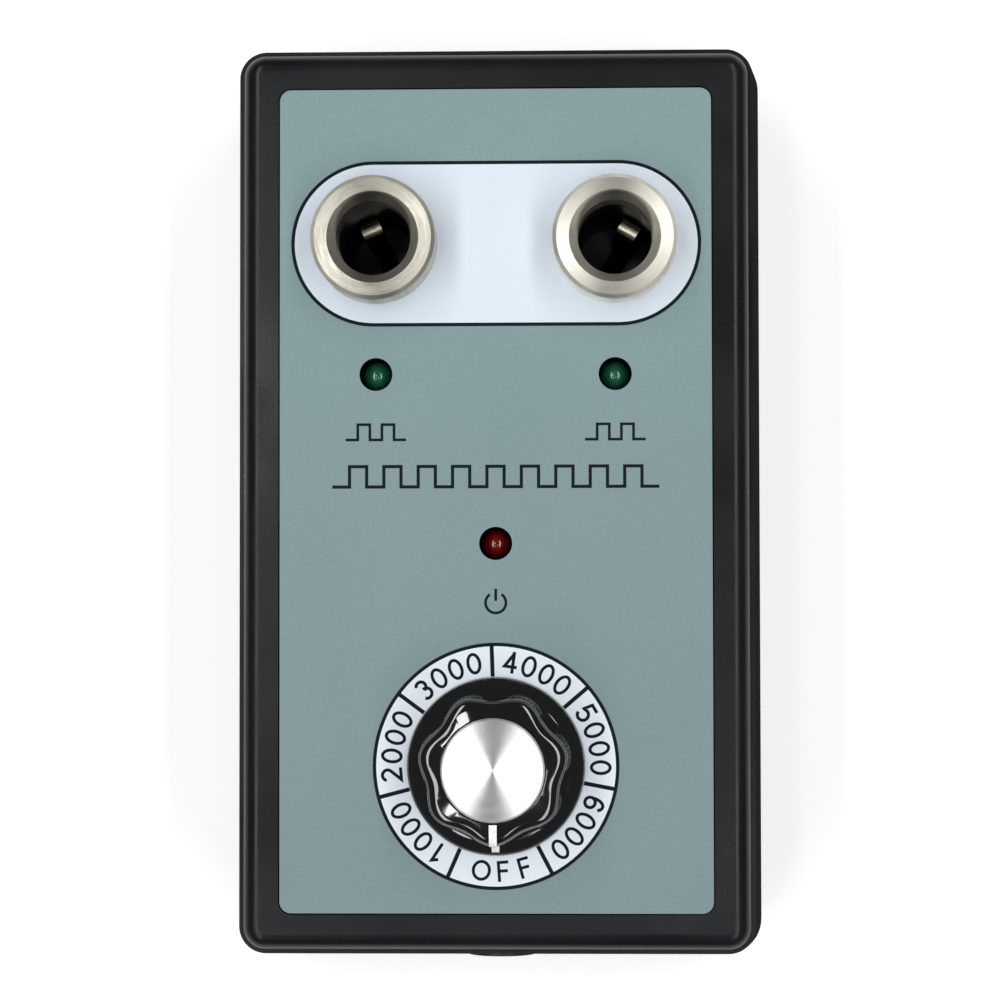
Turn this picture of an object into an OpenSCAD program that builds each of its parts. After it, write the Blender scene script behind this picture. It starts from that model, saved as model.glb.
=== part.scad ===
// Hand-held spark plug tester lying on its back, the front label facing up.
// The origin is the middle of the flat back. +Y runs to the socket end, +Z out of the label.

/* [Case] */
// Width of the case at its joint line
case_w = 84.3; // [80:0.1:100]
// Length of the case at its joint line
case_l = 145.6; // [140:0.1:170]
// Height of the case from its back to the front rim
case_h = 40; // [38:0.5:48]
// Height of the joint line between the two shells
joint_z = 21.5; // [19:0.5:23]
// Plan radius of the corners at the joint line
corner_r = 5.8; // [5.2:0.1:8]
// How far each side of the front shell leans in above the joint line
front_draft = 1.55; // [0.8:0.05:2]
// How far each side of the rear shell leans in below the joint line
rear_draft = 1.2; // [0.6:0.05:2]
// Thickness of the side walls
wall_t = 2.4; // [2:0.1:3]
// Thickness of the front plate under the label
front_t = 2.6; // [2:0.1:3.5]
// Thickness of the back plate
back_t = 2.6; // [2:0.1:3.5]
// Radius of the rounded edge of the front rim
rim_r = 2.8; // [1:0.1:3]
// Width of the narrow shoulder outside the rounded rim
shoulder_w = 0.7; // [0.4:0.1:1.1]
// Height of the small step between the shoulder and the rounded rim
shoulder_step = 0.3; // [0.1:0.1:0.8]
// Radius of the rounded edge of the back
back_edge_r = 2.5; // [1:0.1:3.5]
// Size of the bevels that make the groove along the joint line
joint_groove = 0.5; // [0.2:0.1:0.8]
// Height of the tongue that keys the shells together
tongue_h = 2; // [1:0.1:3]
// Thickness of that tongue
tongue_t = 1; // [0.8:0.1:1.2]

/* [Label] */
// Width of the printed label
label_w = 67.9; // [60:0.1:71]
// Length of the printed label
label_l = 129.4; // [115:0.1:131]
// Corner radius of the label
label_r = 1.8; // [0.5:0.1:4]
// Thickness of the label
label_t = 0.4; // [0.2:0.05:0.6]
// Depth of the recess that the label lies in
label_recess = 0.5; // [0.3:0.05:0.8]

/* [Sockets] */
// Distance from the middle line to each socket
socket_x = 18.8; // [17:0.1:22]
// Distance of the sockets from the middle of the case
socket_y = 40.5; // [38:0.1:46]
// Outer diameter of the collar above the label
collar_d = 19.4; // [17:0.1:22]
// Height of the collar above the label
collar_h = 8; // [6:0.1:12]
// Diameter of the collar's countersunk mouth
mouth_d = 14.3; // [12.6:0.1:15]
// Depth of the countersink
mouth_depth = 1.6; // [1:0.1:2.5]
// Diameter of the collar's throat
throat_d = 11.6; // [10.5:0.1:11.6]
// Diameter of the collar's threaded shank
shank_d = 16; // [15.6:0.1:16.8]
// Width across the flats of the collar nut
collar_nut_af = 20; // [19:0.5:22]
// Height of the collar nut
collar_nut_h = 3.2; // [2:0.1:5]
// Thickness of the earth strap
strap_t = 0.6; // [0.3:0.1:1]
// Outer diameter of the insulating tube
tube_d = 13.8; // [13.6:0.1:14]
// Inner diameter of the insulating tube
tube_bore = 12.2; // [12:0.1:12.4]
// Thickness of the tube's floor
tube_floor = 2; // [1:0.1:3]

/* [Contacts] */
// Width of the contact strip
strip_w = 3.2; // [2:0.1:4]
// Thickness of the contact strip
strip_t = 0.4; // [0.3:0.05:0.5]
// Height of the middle of the fold above the tube's floor
fold_h = 19.2; // [15:0.1:20]
// Inner radius of the fold
fold_r = 1.25; // [0.7:0.05:1.3]
// Length of the sprung leg
leaf_l = 15; // [12:0.1:16]
// Lean of the sprung leg from upright
leaf_lean = 5; // [3:0.5:7]
// Length of the solder tab outside the tube
tab_l = 3.8; // [3:0.1:6]
// Direction of the left contact round its socket, from +X
left_contact_dir = 115; // [100:1:140]
// Direction of the right contact round its socket, from +X
right_contact_dir = 58; // [50:1:90]

/* [Lamps] */
// Diameter of a lamp's lens
lamp_d = 5; // [4:0.1:5.4]
// Height of a lamp from its flange to the top of its dome
lamp_h = 8.8; // [8.2:0.1:9.8]
// Distance from the middle line to each signal lamp
signal_x = 18.8; // [15:0.1:22]
// Distance of the signal lamps from the middle of the case
signal_y = 19.7; // [18:0.1:21]
// Distance of the power lamp from the middle of the case
power_y = -6.9; // [-10:0.1:-4]

/* [Knob] */
// Distance of the knob from the middle of the case
knob_y = -41.75; // [-44:0.05:-38]
// Diameter of the knob's skirt
skirt_d = 27.6; // [26:0.1:30]
// Height of the knob's body
knob_h = 14.2; // [12:0.1:18]
// Diameter of the grip over its lobes
grip_d = 23.2; // [21:0.1:24.6]
// Number of lobes round the grip
lobes = 7; // [5:1:12]
// Depth of the hollows between the lobes
lobe_depth = 1.1; // [0.4:0.1:1.4]
// Radius that the hollows are cut with
hollow_r = 12; // [8:0.5:16]
// Radius of the rounded edge at the top of the grip
grip_edge_r = 1.5; // [0.6:0.1:2]
// Width of the level land between the rounded edge and the sloped crown round the cap
crown_land = 0.2; // [0.1:0.1:0.8]
// Slope of that crown, from level
crown_lean = 7; // [4:1:20]
// Diameter of the spun cap
cap_d = 15.9; // [13:0.1:17]
// Thickness of the spun cap
cap_t = 1.1; // [0.8:0.1:1.6]
// Width of the pointer line
pointer_w = 1.2; // [0.6:0.1:2]
// Gap between the skirt and the label
knob_gap = 0.5; // [0.3:0.1:1]

/* [Speed control] */
// Diameter of the control's can
can_d = 17; // [16:0.1:20]
// Height of the can, which sets how far the board lies behind the front plate
can_h = 8.6; // [8:0.1:9]
// Diameter of the threaded bush
bush_d = 7; // [6.9:0.1:8]
// Diameter of the shaft
shaft_d = 6; // [5.6:0.1:6]
// Length of the shaft above the label
shaft_l = 12; // [10.5:0.1:12.4]
// Width across the flats of the bush nut
bush_nut_af = 10; // [9.5:0.5:12]
// Height of the bush nut
bush_nut_h = 2; // [1.5:0.1:2.4]
// Thickness of the bush washer
bush_washer_t = 0.5; // [0.3:0.1:0.8]

/* [Board] */
// Width of the circuit board
board_w = 62; // [60:0.5:66]
// Socket-side edge of the board from the middle of the case
board_top_y = 28; // [27.5:0.1:29]
// Knob-side edge of the board from the middle of the case
board_low_y = -57; // [-58:0.1:-56.5]
// Thickness of the board
board_t = 1.6; // [1:0.1:2]
// Height of a spark coil behind the board
coil_h = 19; // [12:0.5:20]
// Width of a spark coil
coil_w = 24; // [18:0.5:26]
// Length of a spark coil
coil_l = 30; // [22:0.5:31]

/* [Inlet] */
// Height of the power inlet's axis above the back
inlet_z = 12; // [10.5:0.1:13]
// Diameter of the inlet's flange
inlet_flange_d = 11; // [10:0.1:12]
// Thickness of the inlet's flange
inlet_flange_t = 1.1; // [1:0.1:2]
// Diameter of the inlet's threaded barrel
inlet_d = 8; // [7.6:0.1:8.4]
// Diameter of the inlet's bore
inlet_bore = 6.3; // [5.8:0.1:6.6]
// Depth of the inlet's bore
inlet_depth = 10; // [8:0.1:11]
// Diameter of the inlet's centre pin
inlet_pin_d = 2.1; // [1.6:0.1:2.6]

/* [Fasteners] */
// Distance of each case screw from the widest outline
screw_inset = 9.5; // [9.2:0.1:11]
// Diameter of a case screw
screw_d = 3; // [2.5:0.1:3.5]
// Length of a case screw under its head
screw_l = 16; // [12:0.5:17]
// Diameter of a case screw's head
screw_head_d = 5.4; // [5:0.1:6]
// Plastic left under a case screw's head
screw_floor = 5; // [3:0.5:8]
// Diameter of a board screw
board_screw_d = 2.5; // [2:0.1:2.8]

/* [Fits] */
// Radial clearance of the shaft in its bush
running_gap = 0.05; // [0.02:0.01:0.1]
// Gap between pieces that are pushed or screwed together
seat_gap = 0.03; // [0.02:0.01:0.08]
// Gap round pieces that drop into place
drop_gap = 0.2; // [0.1:0.05:0.3]

/* [Hidden] */
$fn = 64;

// Plan: the corner circles' centres, which every swept wall shares
corner_x = case_w / 2 - corner_r;
corner_y = case_l / 2 - corner_r;
// Wall profile, measured outward from a corner circle's centre
shoulder_u = corner_r - front_draft;
rim_u = shoulder_u - shoulder_w;
flat_u = rim_u - rim_r;
shoulder_z = case_h - rim_r - shoulder_step;
rear_u = corner_r - rear_draft;
tongue_u = corner_r - wall_t;
// Heights of the front plate and what lies on it
recess_z = case_h - label_recess;
label_z = recess_z + label_t;
plate_z = recess_z - front_t;
// Case screws and their bosses
screw_x = case_w / 2 - screw_inset;
screw_y = case_l / 2 - screw_inset;
screw_seat_z = joint_z - screw_floor;
screw_head_h = 2;
boss_wall = 2;
boss_d = screw_d + 2 * boss_wall;
head_well_d = screw_head_d + 0.8;
rear_boss_d = head_well_d + 2.4;
rib_t = 1.4;
cut = 1;
// Sockets
lip_z = label_z + 0.6;
throat_z = label_z + collar_h - mouth_depth;
nut_top_z = plate_z - strap_t;
shank_z = nut_top_z - collar_nut_h - 0.8;
tube_floor_z = back_t + tube_floor;
strap_ring_w = 2.5;
strap_ring_d = shank_d + 2 * strap_ring_w;
strap_bar_w = 8;
tube_ring_t = 1.4;
tube_ring_h = 1.5;
collar_edge = 0.6;
// Contacts, in a plane through the socket's axis
leg_out = sqrt(pow(tube_bore / 2 - seat_gap, 2) - pow(strip_w / 2, 2));
fold_x = leg_out - strip_t - fold_r;
fold_z = tube_floor_z + fold_h;
tab_out = tube_d / 2 + tab_l;
leaf_gap = 0.1;
// Lamps and board
board_z = plate_z - can_h;
board_back_z = board_z - board_t;
lamp_flange_d = lamp_d + 0.8;
lamp_flange_t = 1;
lamp_hole_d = lamp_d + drop_gap;
lead_pitch = 2.54;
lead_d = 0.6;
lead_hole_d = lead_d + 0.4;
lead_tail = 1;
board_r = 2;
post_d = board_screw_d + 2.9;
post_inset = 4;
post_x = board_w / 2 - post_inset;
post_ys = [board_top_y - post_inset, board_low_y + post_inset];
board_screw_head_d = 4.6;
board_screw_head_h = 1.7;
board_screw_l = 7;
lamp_places = [[-signal_x, signal_y], [signal_x, signal_y], [0, power_y]];
// Spark coils behind the board
coil_gap = 4;
coil_mid_y = 1;
coil_r = 2;
coil_outlet_d = 6;
coil_outlet_l = 3;
coil_outlet_x = 14;
coil_lead_d = 2.4;
coil_lead_y = coil_mid_y + coil_l / 2 + coil_outlet_l;
coil_floor_z = board_back_z - coil_h;
coil_outlet_z = coil_floor_z + coil_outlet_d / 2 + 0.3;
// Knob
knob_z = label_z + knob_gap;
knob_top_z = knob_z + knob_h;
skirt_edge_h = 1;
skirt_rise = 1.6;
cap_seat = 0.8;
cap_bevel = 0.3;
knob_well_d = bush_nut_af / cos(30) + 3;
knob_well_h = bush_washer_t + bush_nut_h + 1.4;
insert_d = shaft_d + 3;
insert_top_z = label_z + shaft_l;
pointer_depth = max(0.5, 0.4 * grip_edge_r);
pointer_start = 0.3;
crown_in = cap_d / 2 + pointer_start;
crown_out = grip_d / 2 - grip_edge_r - crown_land;
grip_h = knob_h - (crown_out - crown_in) * tan(crown_lean);
set_screw_d = 3;
set_screw_l = 5;
set_screw_dir = 270 - 1.5 * 360 / lobes;
set_screw_lift = 3.5;
set_screw_z = knob_z + knob_well_h + set_screw_lift;
// Speed control
can_t = 0.8;
bush_z = label_z + bush_washer_t + bush_nut_h + 1;
bush_washer_d = bush_nut_af / cos(30) + 0.8;
track_t = 1.6;
shaft_z = board_z + track_t + 0.4;
wiper_gap = 2;
wiper_d = can_d - 2 * wiper_gap;
wiper_t = 2;
wiper_z = plate_z - can_t - wiper_t - 0.6;
finger_w = 1.6;
finger_gap = 0.3;
pin_s = 0.8;
pin_hole_d = 1.4;
pin_r = can_d / 2 - 2.5;
pin_pitch = 4;
pin_places = [[-pin_pitch, pin_r * 0.7], [0, pin_r], [pin_pitch, pin_r * 0.7], [-pin_pitch / 2, -pin_r],
    [pin_pitch / 2, -pin_r]];
// Inlet on the end wall
inlet_pad_d = inlet_flange_d + 2;
inlet_seat_y = -(case_l / 2 - 0.2);
inlet_inner_y = inlet_seat_y + wall_t + 1;
inlet_nut_af = inlet_d + 3;
inlet_nut_h = 2.2;
inlet_back_t = 2;
inlet_back_y = inlet_seat_y - inlet_flange_t + inlet_depth + inlet_back_t;
tag_w = 2.2;
tag_t = 0.4;
tag_l = 4;
tag_x = 2.2;
supply_lead_d = 1.8;
// Small parts behind the board
chip = [9.8, 6.4, 3.4];
chip_place = [-15, -33];
chip_standoff = 0.5;
capacitor_d = 10;
capacitor_h = 16;
capacitor_places = [[8, -26], [20, -26]];
transistor = [10, 4.5, 9];
transistor_tab = [10, 1.3, 15];
transistor_places = [[-20, -46], [20, -46]];
transistor_leg = 3;
resistor_d = 2.3;
resistor_l = 6.4;
resistor_lift = 0.3;
resistor_places = [[-24, -22], [-16, -22], [-8, -22], [-24, -26], [-16, -26], [-8, -26]];
// Routes of the leads inside the case
lead_bend = 2.3;
earth_lead_d = 1.6;
earth_lead_inset = 3.5;
earth_board_inset = 2.5;
earth_lead_lift = 3.3;
earth_from_y = socket_y - earth_lead_inset;
earth_to_y = board_top_y - earth_board_inset;
earth_bow_z = board_z + earth_lead_lift;
earth_route = [[0, earth_from_y, plate_z - strap_t], [0, earth_from_y, earth_bow_z + lead_bend],
    [0, earth_from_y - lead_bend, earth_bow_z], [0, earth_to_y + lead_bend, earth_bow_z],
    [0, earth_to_y, earth_bow_z - lead_bend / 2], [0, earth_to_y, board_z]];
lead_on_tab_z = tube_floor_z + strip_t + coil_lead_d / 2;
left_coil_route = coil_route(-1, left_contact_dir);
right_coil_route = coil_route(1, right_contact_dir);
supply_from = [tag_x, inlet_back_y + tag_l, inlet_z];
supply_spread = 3.8;
supply_to = [tag_x + supply_spread, max(supply_from[1] + 3 * lead_bend, board_low_y + lead_bend), board_back_z];
supply_rise = supply_to[2] - supply_from[2];
supply_route = [supply_from, supply_from + [0, lead_bend, 0],
    [tag_x + 0.32 * supply_spread, supply_to[1] - 0.7 * lead_bend, supply_from[2] + 0.14 * supply_rise],
    [tag_x + 0.89 * supply_spread, supply_to[1] - 0.1 * lead_bend, supply_from[2] + 0.55 * supply_rise],
    supply_to - [0, 0, 0.15 * supply_rise], supply_to];

// A point on the middle of a contact's tab, a given way out from the socket's axis
function on_tab(side, dir, out) =
    [side * socket_x - out * cos(dir), socket_y - out * sin(dir), lead_on_tab_z];

// Way of a spark coil's lead from its outlet down to the contact's tab
function coil_route(side, dir) =
    let (tab_mid = tube_d / 2 + tab_l / 2,
        from = [side * coil_outlet_x, coil_lead_y, coil_outlet_z],
        bend = from + [0, lead_bend, 0],
        low = on_tab(side, dir, tab_mid + 2 * lead_bend) + [0, 0, coil_lead_d / 4])
    [from, bend, (bend + low) / 2, low, on_tab(side, dir, tab_mid + lead_bend), on_tab(side, dir, tab_mid)];

// Places children at both ends of the middle line's two sides
module both_sides(x) {
    for (side = [-1, 1])
        translate([side * x, 0, 0])
            children();
}

// Places children at the four corners of a rectangle
module four_corners(x, y) {
    for (sx = [-1, 1], sy = [-1, 1])
        translate([sx * x, sy * y, 0])
            children();
}

// Sweeps a half profile round the case's plan. The profile's x is measured from the corner centres.
module round_plan() {
    for (i = [0:3])
        translate([corner_x * (i == 0 || i == 3 ? 1 : -1), corner_y * (i < 2 ? 1 : -1), 0])
            rotate([0, 0, 90 * i])
                rotate_extrude(angle = 90)
                    children();
    for (turn = [0, 180]) {
        rotate([0, 0, turn])
            translate([corner_x, 0, 0])
                rotate([90, 0, 0])
                    linear_extrude(height = 2 * corner_y, center = true)
                        children();
        rotate([0, 0, turn + 90])
            translate([corner_y, 0, 0])
                rotate([90, 0, 0])
                    linear_extrude(height = 2 * corner_x, center = true)
                        children();
    }
}

// The block between the corner centres that a swept half profile leaves open
module plan_core(z0, z1) {
    translate([-corner_x, -corner_y, z0])
        cube([2 * corner_x, 2 * corner_y, z1 - z0]);
}

// Rectangle with round corners
module round_rect(w, l, r) {
    square([w - 2 * r, l], center = true);
    square([w, l - 2 * r], center = true);
    four_corners(w / 2 - r, l / 2 - r)
        circle(r = r);
}

function unit(v) = v / norm(v);

// Direction of a route at one of its points
function heading(route, i) =
    i == 0 ? unit(route[1] - route[0]) :
    i == len(route) - 1 ? unit(route[i] - route[i - 1]) :
    unit(unit(route[i] - route[i - 1]) + unit(route[i + 1] - route[i]));

// Round lead swept along a route
module lead(route, d, side_dir) {
    sides = 8;
    rings = len(route);
    points = [for (i = [0:rings - 1])
        let (t = heading(route, i), u = unit(cross(side_dir, t)), v = cross(t, u))
        for (k = [0:sides - 1])
            let (a = 360 * (k + 0.5) / sides)
            route[i] + d / 2 * (cos(a) * u + sin(a) * v)];
    walls = [for (i = [0:rings - 2], k = [0:sides - 1])
        let (a = i * sides + k, b = i * sides + (k + 1) % sides)
        for (face = [[a, a + sides, b + sides], [a, b + sides, b]])
            face];
    start = [for (k = [0:sides - 1]) k];
    end = [for (k = [0:sides - 1]) rings * sides - 1 - k];
    polyhedron(points, concat([start], walls, [end]), convexity = 4);
}

// Pan head screw pointing up, its head's seat at the origin
module pan_screw(d, l, head_d, head_h) {
    cylinder(d = d, h = l);
    translate([0, 0, -head_h])
        difference() {
            cylinder(d1 = head_d - 0.8, d2 = head_d, h = head_h);
            for (turn = [0, 90])
                rotate([0, 0, turn])
                    cube([head_d * 0.55, d * 0.22, head_h], center = true);
        }
}

// Hexagonal nut with a plain bore, standing on the origin
module hex_nut(af, h, bore) {
    difference() {
        cylinder(d = af / cos(30), h = h, $fn = 6);
        translate([0, 0, -cut])
            cylinder(d = bore, h = h + 2 * cut);
    }
}

// Half profile of the front shell's outside
module front_profile() {
    polygon([[0, joint_z], [corner_r - joint_groove, joint_z], [corner_r, joint_z + joint_groove],
        [shoulder_u, shoulder_z], [0, shoulder_z]]);
    translate([0, joint_z])
        square([rim_u, case_h - rim_r - joint_z]);
    translate([0, joint_z])
        square([flat_u, case_h - joint_z]);
    translate([flat_u, case_h - rim_r])
        intersection() {
            circle(r = rim_r);
            square(rim_r);
        }
}

// Half profile of the hollow in the front shell
module front_hollow_profile() {
    polygon([[0, joint_z - cut], [tongue_u, joint_z - cut], [tongue_u, joint_z],
        [shoulder_u - wall_t, plate_z], [0, plate_z]]);
}

// Half profile of the rear shell's outside
module rear_profile() {
    polygon([[0, back_edge_r], [rear_u, back_edge_r], [corner_r, joint_z - joint_groove],
        [corner_r - joint_groove, joint_z], [0, joint_z]]);
    square([rear_u - back_edge_r, joint_z]);
    translate([rear_u - back_edge_r, back_edge_r])
        intersection() {
            circle(r = back_edge_r);
            translate([0, -back_edge_r])
                square(back_edge_r);
        }
}

// Half profile of the hollow in the rear shell
module rear_hollow_profile() {
    polygon([[0, back_t], [rear_u - wall_t, back_t], [tongue_u, joint_z], [tongue_u, joint_z + cut],
        [0, joint_z + cut]]);
}

// Bosses, ribs and posts inside the front shell
module front_insides() {
    four_corners(screw_x, screw_y)
        translate([0, 0, joint_z - cut])
            cylinder(d = boss_d, h = plate_z - joint_z + 2 * cut);
    for (sx = [-1, 1], sy = [-1, 1])
        translate([sx * screw_x, sy * screw_y, joint_z - cut]) {
            translate([sx > 0 ? 0 : -screw_inset, -rib_t / 2, 0])
                cube([screw_inset, rib_t, case_h]);
            translate([-rib_t / 2, sy > 0 ? 0 : -screw_inset, 0])
                cube([rib_t, screw_inset, case_h]);
        }
    for (y = post_ys)
        both_sides(post_x)
            translate([0, y, board_z])
                cylinder(d = post_d, h = can_h + cut);
}

module front_cover() {
    color([0.14, 0.15, 0.16])
        difference() {
            union() {
                round_plan()
                    front_profile();
                plan_core(joint_z, case_h);
            }
            difference() {
                union() {
                    round_plan()
                        front_hollow_profile();
                    plan_core(joint_z - cut, plate_z);
                }
                front_insides();
            }
            round_plan()
                translate([tongue_u - drop_gap, joint_z - cut])
                    square([tongue_t + 2 * drop_gap, cut + tongue_h + drop_gap]);
            translate([0, 0, recess_z])
                linear_extrude(height = label_recess + cut)
                    round_rect(label_w + 2 * drop_gap, label_l + 2 * drop_gap, label_r + drop_gap);
            both_sides(socket_x)
                translate([0, socket_y, plate_z - cut])
                    cylinder(d = shank_d + 2 * drop_gap, h = front_t + 2 * cut);
            for (place = lamp_places)
                translate([place[0], place[1], plate_z - cut])
                    cylinder(d = lamp_hole_d, h = front_t + 2 * cut);
            translate([0, knob_y, plate_z - cut])
                cylinder(d = bush_d + 2 * drop_gap, h = front_t + 2 * cut);
            four_corners(screw_x, screw_y)
                translate([0, 0, joint_z - cut])
                    cylinder(d = screw_d + 2 * seat_gap, h = screw_l - screw_floor + 2 * cut);
            for (y = post_ys)
                both_sides(post_x)
                    translate([0, y, board_z - cut])
                        cylinder(d = board_screw_d + 2 * seat_gap, h = board_screw_l - board_t + 2 * cut);
        }
}

// Bosses and seats inside the rear shell
module rear_insides() {
    four_corners(screw_x, screw_y)
        cylinder(d = rear_boss_d, h = joint_z);
    both_sides(socket_x)
        translate([0, socket_y, 0])
            difference() {
                cylinder(d = tube_d + 2 * drop_gap + 2 * tube_ring_t, h = back_t + tube_ring_h);
                translate([0, 0, back_t])
                    cylinder(d = tube_d + 2 * drop_gap, h = tube_ring_h + cut);
            }
    translate([0, inlet_inner_y, inlet_z])
        rotate([90, 0, 0])
            cylinder(d = inlet_pad_d, h = wall_t + corner_r);
}

module rear_cover() {
    color([0.14, 0.15, 0.16])
        difference() {
            union() {
                difference() {
                    union() {
                        round_plan()
                            rear_profile();
                        plan_core(0, joint_z);
                    }
                    difference() {
                        union() {
                            round_plan()
                                rear_hollow_profile();
                            plan_core(back_t, joint_z + cut);
                        }
                        rear_insides();
                    }
                }
                round_plan()
                    translate([tongue_u, joint_z - cut])
                        square([tongue_t, cut + tongue_h]);
                translate([0, inlet_seat_y, inlet_z])
                    rotate([-90, 0, 0])
                        cylinder(d = inlet_pad_d, h = wall_t / 2);
            }
            translate([0, inlet_seat_y - cut, inlet_z])
                rotate([-90, 0, 0])
                    cylinder(d = inlet_d + drop_gap, h = wall_t + corner_r);
            four_corners(screw_x, screw_y) {
                translate([0, 0, -cut])
                    cylinder(d = head_well_d, h = screw_seat_z + cut);
                cylinder(d = screw_d + 2 * drop_gap, h = joint_z + cut);
            }
        }
}

module face_label() {
    color([0.53, 0.62, 0.63])
        translate([0, 0, recess_z])
            linear_extrude(height = label_t)
                difference() {
                    round_rect(label_w, label_l, label_r);
                    both_sides(socket_x)
                        translate([0, socket_y])
                            circle(d = shank_d + 2 * drop_gap);
                    for (place = lamp_places)
                        translate(place)
                            circle(d = lamp_hole_d);
                    translate([0, knob_y])
                        circle(d = bush_d + 2 * drop_gap);
                }
}

// Turned collar with a countersunk mouth, a throat and a hollow threaded shank
module collar(side) {
    color([0.82, 0.79, 0.72])
        translate([side * socket_x, socket_y, 0])
            rotate_extrude()
                polygon([
                    [tube_d / 2 + seat_gap, shank_z],
                    [shank_d / 2, shank_z],
                    [shank_d / 2, label_z],
                    [collar_d / 2, label_z],
                    [collar_d / 2, label_z + collar_h - collar_edge],
                    [collar_d / 2 - collar_edge, label_z + collar_h],
                    [mouth_d / 2, label_z + collar_h],
                    [throat_d / 2, throat_z],
                    [throat_d / 2, lip_z],
                    [tube_d / 2 + seat_gap, lip_z]
                ]);
}

module left_collar() {
    collar(-1);
}

module right_collar() {
    collar(1);
}

module collar_nut(side) {
    color([0.8, 0.78, 0.7])
        translate([side * socket_x, socket_y, nut_top_z - collar_nut_h])
            hex_nut(collar_nut_af, collar_nut_h, shank_d + 2 * seat_gap);
}

module left_collar_nut() {
    collar_nut(-1);
}

module right_collar_nut() {
    collar_nut(1);
}

module earth_strap() {
    color([0.78, 0.7, 0.5])
        translate([0, 0, nut_top_z])
            linear_extrude(height = strap_t)
                difference() {
                    union() {
                        both_sides(socket_x)
                            translate([0, socket_y])
                                circle(d = strap_ring_d);
                        translate([0, socket_y])
                            square([2 * socket_x, strap_bar_w], center = true);
                    }
                    both_sides(socket_x)
                        translate([0, socket_y])
                            circle(d = shank_d + 2 * drop_gap);
                }
}

// Insulating cup with a low slot for the contact's tab
module socket_tube(side, dir) {
    color([0.06, 0.06, 0.07])
        translate([side * socket_x, socket_y, 0])
            difference() {
                translate([0, 0, back_t])
                    cylinder(d = tube_d, h = lip_z - back_t - seat_gap);
                translate([0, 0, tube_floor_z])
                    cylinder(d = tube_bore, h = lip_z);
                rotate([0, 0, dir + 180])
                    translate([0, -strip_w / 2 - drop_gap, tube_floor_z])
                        cube([tube_d, strip_w + 2 * drop_gap, strip_t + drop_gap]);
            }
}

module left_socket_tube() {
    socket_tube(-1, left_contact_dir);
}

module right_socket_tube() {
    socket_tube(1, right_contact_dir);
}

// Stands a profile drawn in a plane through the socket's axis up in its direction, as wide as the strip
module strip(side, dir) {
    translate([side * socket_x, socket_y, 0])
        rotate([0, 0, dir])
            rotate([90, 0, 0])
                linear_extrude(height = strip_w, center = true)
                    children();
}

// Foot with the solder tab, upright leg and the fold over its top
module contact_base(side, dir) {
    color([0.83, 0.8, 0.7])
        strip(side, dir) {
            translate([-tab_out, tube_floor_z])
                square([tab_out + leg_out, strip_t]);
            translate([leg_out - strip_t, tube_floor_z])
                square([strip_t, fold_h]);
            translate([fold_x, fold_z])
                difference() {
                    circle(r = fold_r + strip_t);
                    circle(r = fold_r);
                    translate([-tube_d, -2 * tube_d])
                        square(2 * tube_d);
                }
        }
}

module left_contact_base() {
    contact_base(-1, left_contact_dir);
}

module right_contact_base() {
    contact_base(1, right_contact_dir);
}

// Sprung leg that leans in from the fold, with its end turned out
module contact_leaf(side, dir) {
    tip = leaf_l / 5;
    color([0.83, 0.8, 0.7])
        strip(side, dir)
            translate([fold_x - fold_r, fold_z - leaf_gap])
                rotate(-leaf_lean) {
                    translate([-strip_t, -leaf_l + tip])
                        square([strip_t, leaf_l - tip]);
                    translate([-strip_t, -leaf_l + tip])
                        rotate(3 * leaf_lean)
                            translate([0, -tip])
                                square([strip_t, tip]);
                }
}

module left_contact_leaf() {
    contact_leaf(-1, left_contact_dir);
}

module right_contact_leaf() {
    contact_leaf(1, right_contact_dir);
}

// Domed lens with a flange, standing on the board
module lamp(place, tint) {
    color(tint)
        translate([place[0], place[1], board_z])
            rotate_extrude() {
                square([lamp_flange_d / 2, lamp_flange_t]);
                square([lamp_d / 2, lamp_h - lamp_d / 2]);
                translate([0, lamp_h - lamp_d / 2])
                    intersection() {
                        circle(d = lamp_d);
                        square(lamp_d / 2);
                    }
            }
}

module left_signal_lamp() {
    lamp(lamp_places[0], [0.05, 0.3, 0.18]);
}

module right_signal_lamp() {
    lamp(lamp_places[1], [0.05, 0.3, 0.18]);
}

module power_lamp() {
    lamp(lamp_places[2], [0.35, 0.03, 0.03]);
}

module lamp_leads() {
    color([0.8, 0.8, 0.78])
        for (place = lamp_places, side = [-1, 1])
            translate([place[0] + side * lead_pitch / 2, place[1], board_back_z - lead_tail])
                cylinder(d = lead_d, h = board_t + lead_tail);
}

module circuit_board() {
    mid_y = (board_top_y + board_low_y) / 2;
    color([0.1, 0.35, 0.2])
        translate([0, 0, board_back_z])
            linear_extrude(height = board_t)
                difference() {
                    translate([0, mid_y])
                        round_rect(board_w, board_top_y - board_low_y, board_r);
                    for (y = post_ys)
                        both_sides(post_x)
                            translate([0, y])
                                circle(d = board_screw_d + drop_gap);
                    for (place = lamp_places, side = [-1, 1])
                        translate([place[0] + side * lead_pitch / 2, place[1]])
                            circle(d = lead_hole_d);
                    for (place = pin_places)
                        translate([place[0], knob_y + place[1]])
                            circle(d = pin_hole_d);
                }
}

module board_screws() {
    color([0.7, 0.7, 0.7])
        for (y = post_ys)
            both_sides(post_x)
                translate([0, y, board_back_z])
                    pan_screw(board_screw_d, board_screw_l, board_screw_head_d, board_screw_head_h);
}

// Potted coil behind the board with the outlet of its lead
module spark_coil(side) {
    color([0.09, 0.09, 0.1]) {
        translate([side * (coil_gap + coil_w / 2), coil_mid_y, coil_floor_z])
            linear_extrude(height = coil_h)
                round_rect(coil_w, coil_l, coil_r);
        translate([side * coil_outlet_x, coil_mid_y + coil_l / 2, coil_outlet_z])
            rotate([-90, 0, 0])
                cylinder(d = coil_outlet_d, h = coil_outlet_l);
    }
}

module left_spark_coil() {
    spark_coil(-1);
}

module right_spark_coil() {
    spark_coil(1);
}

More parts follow.
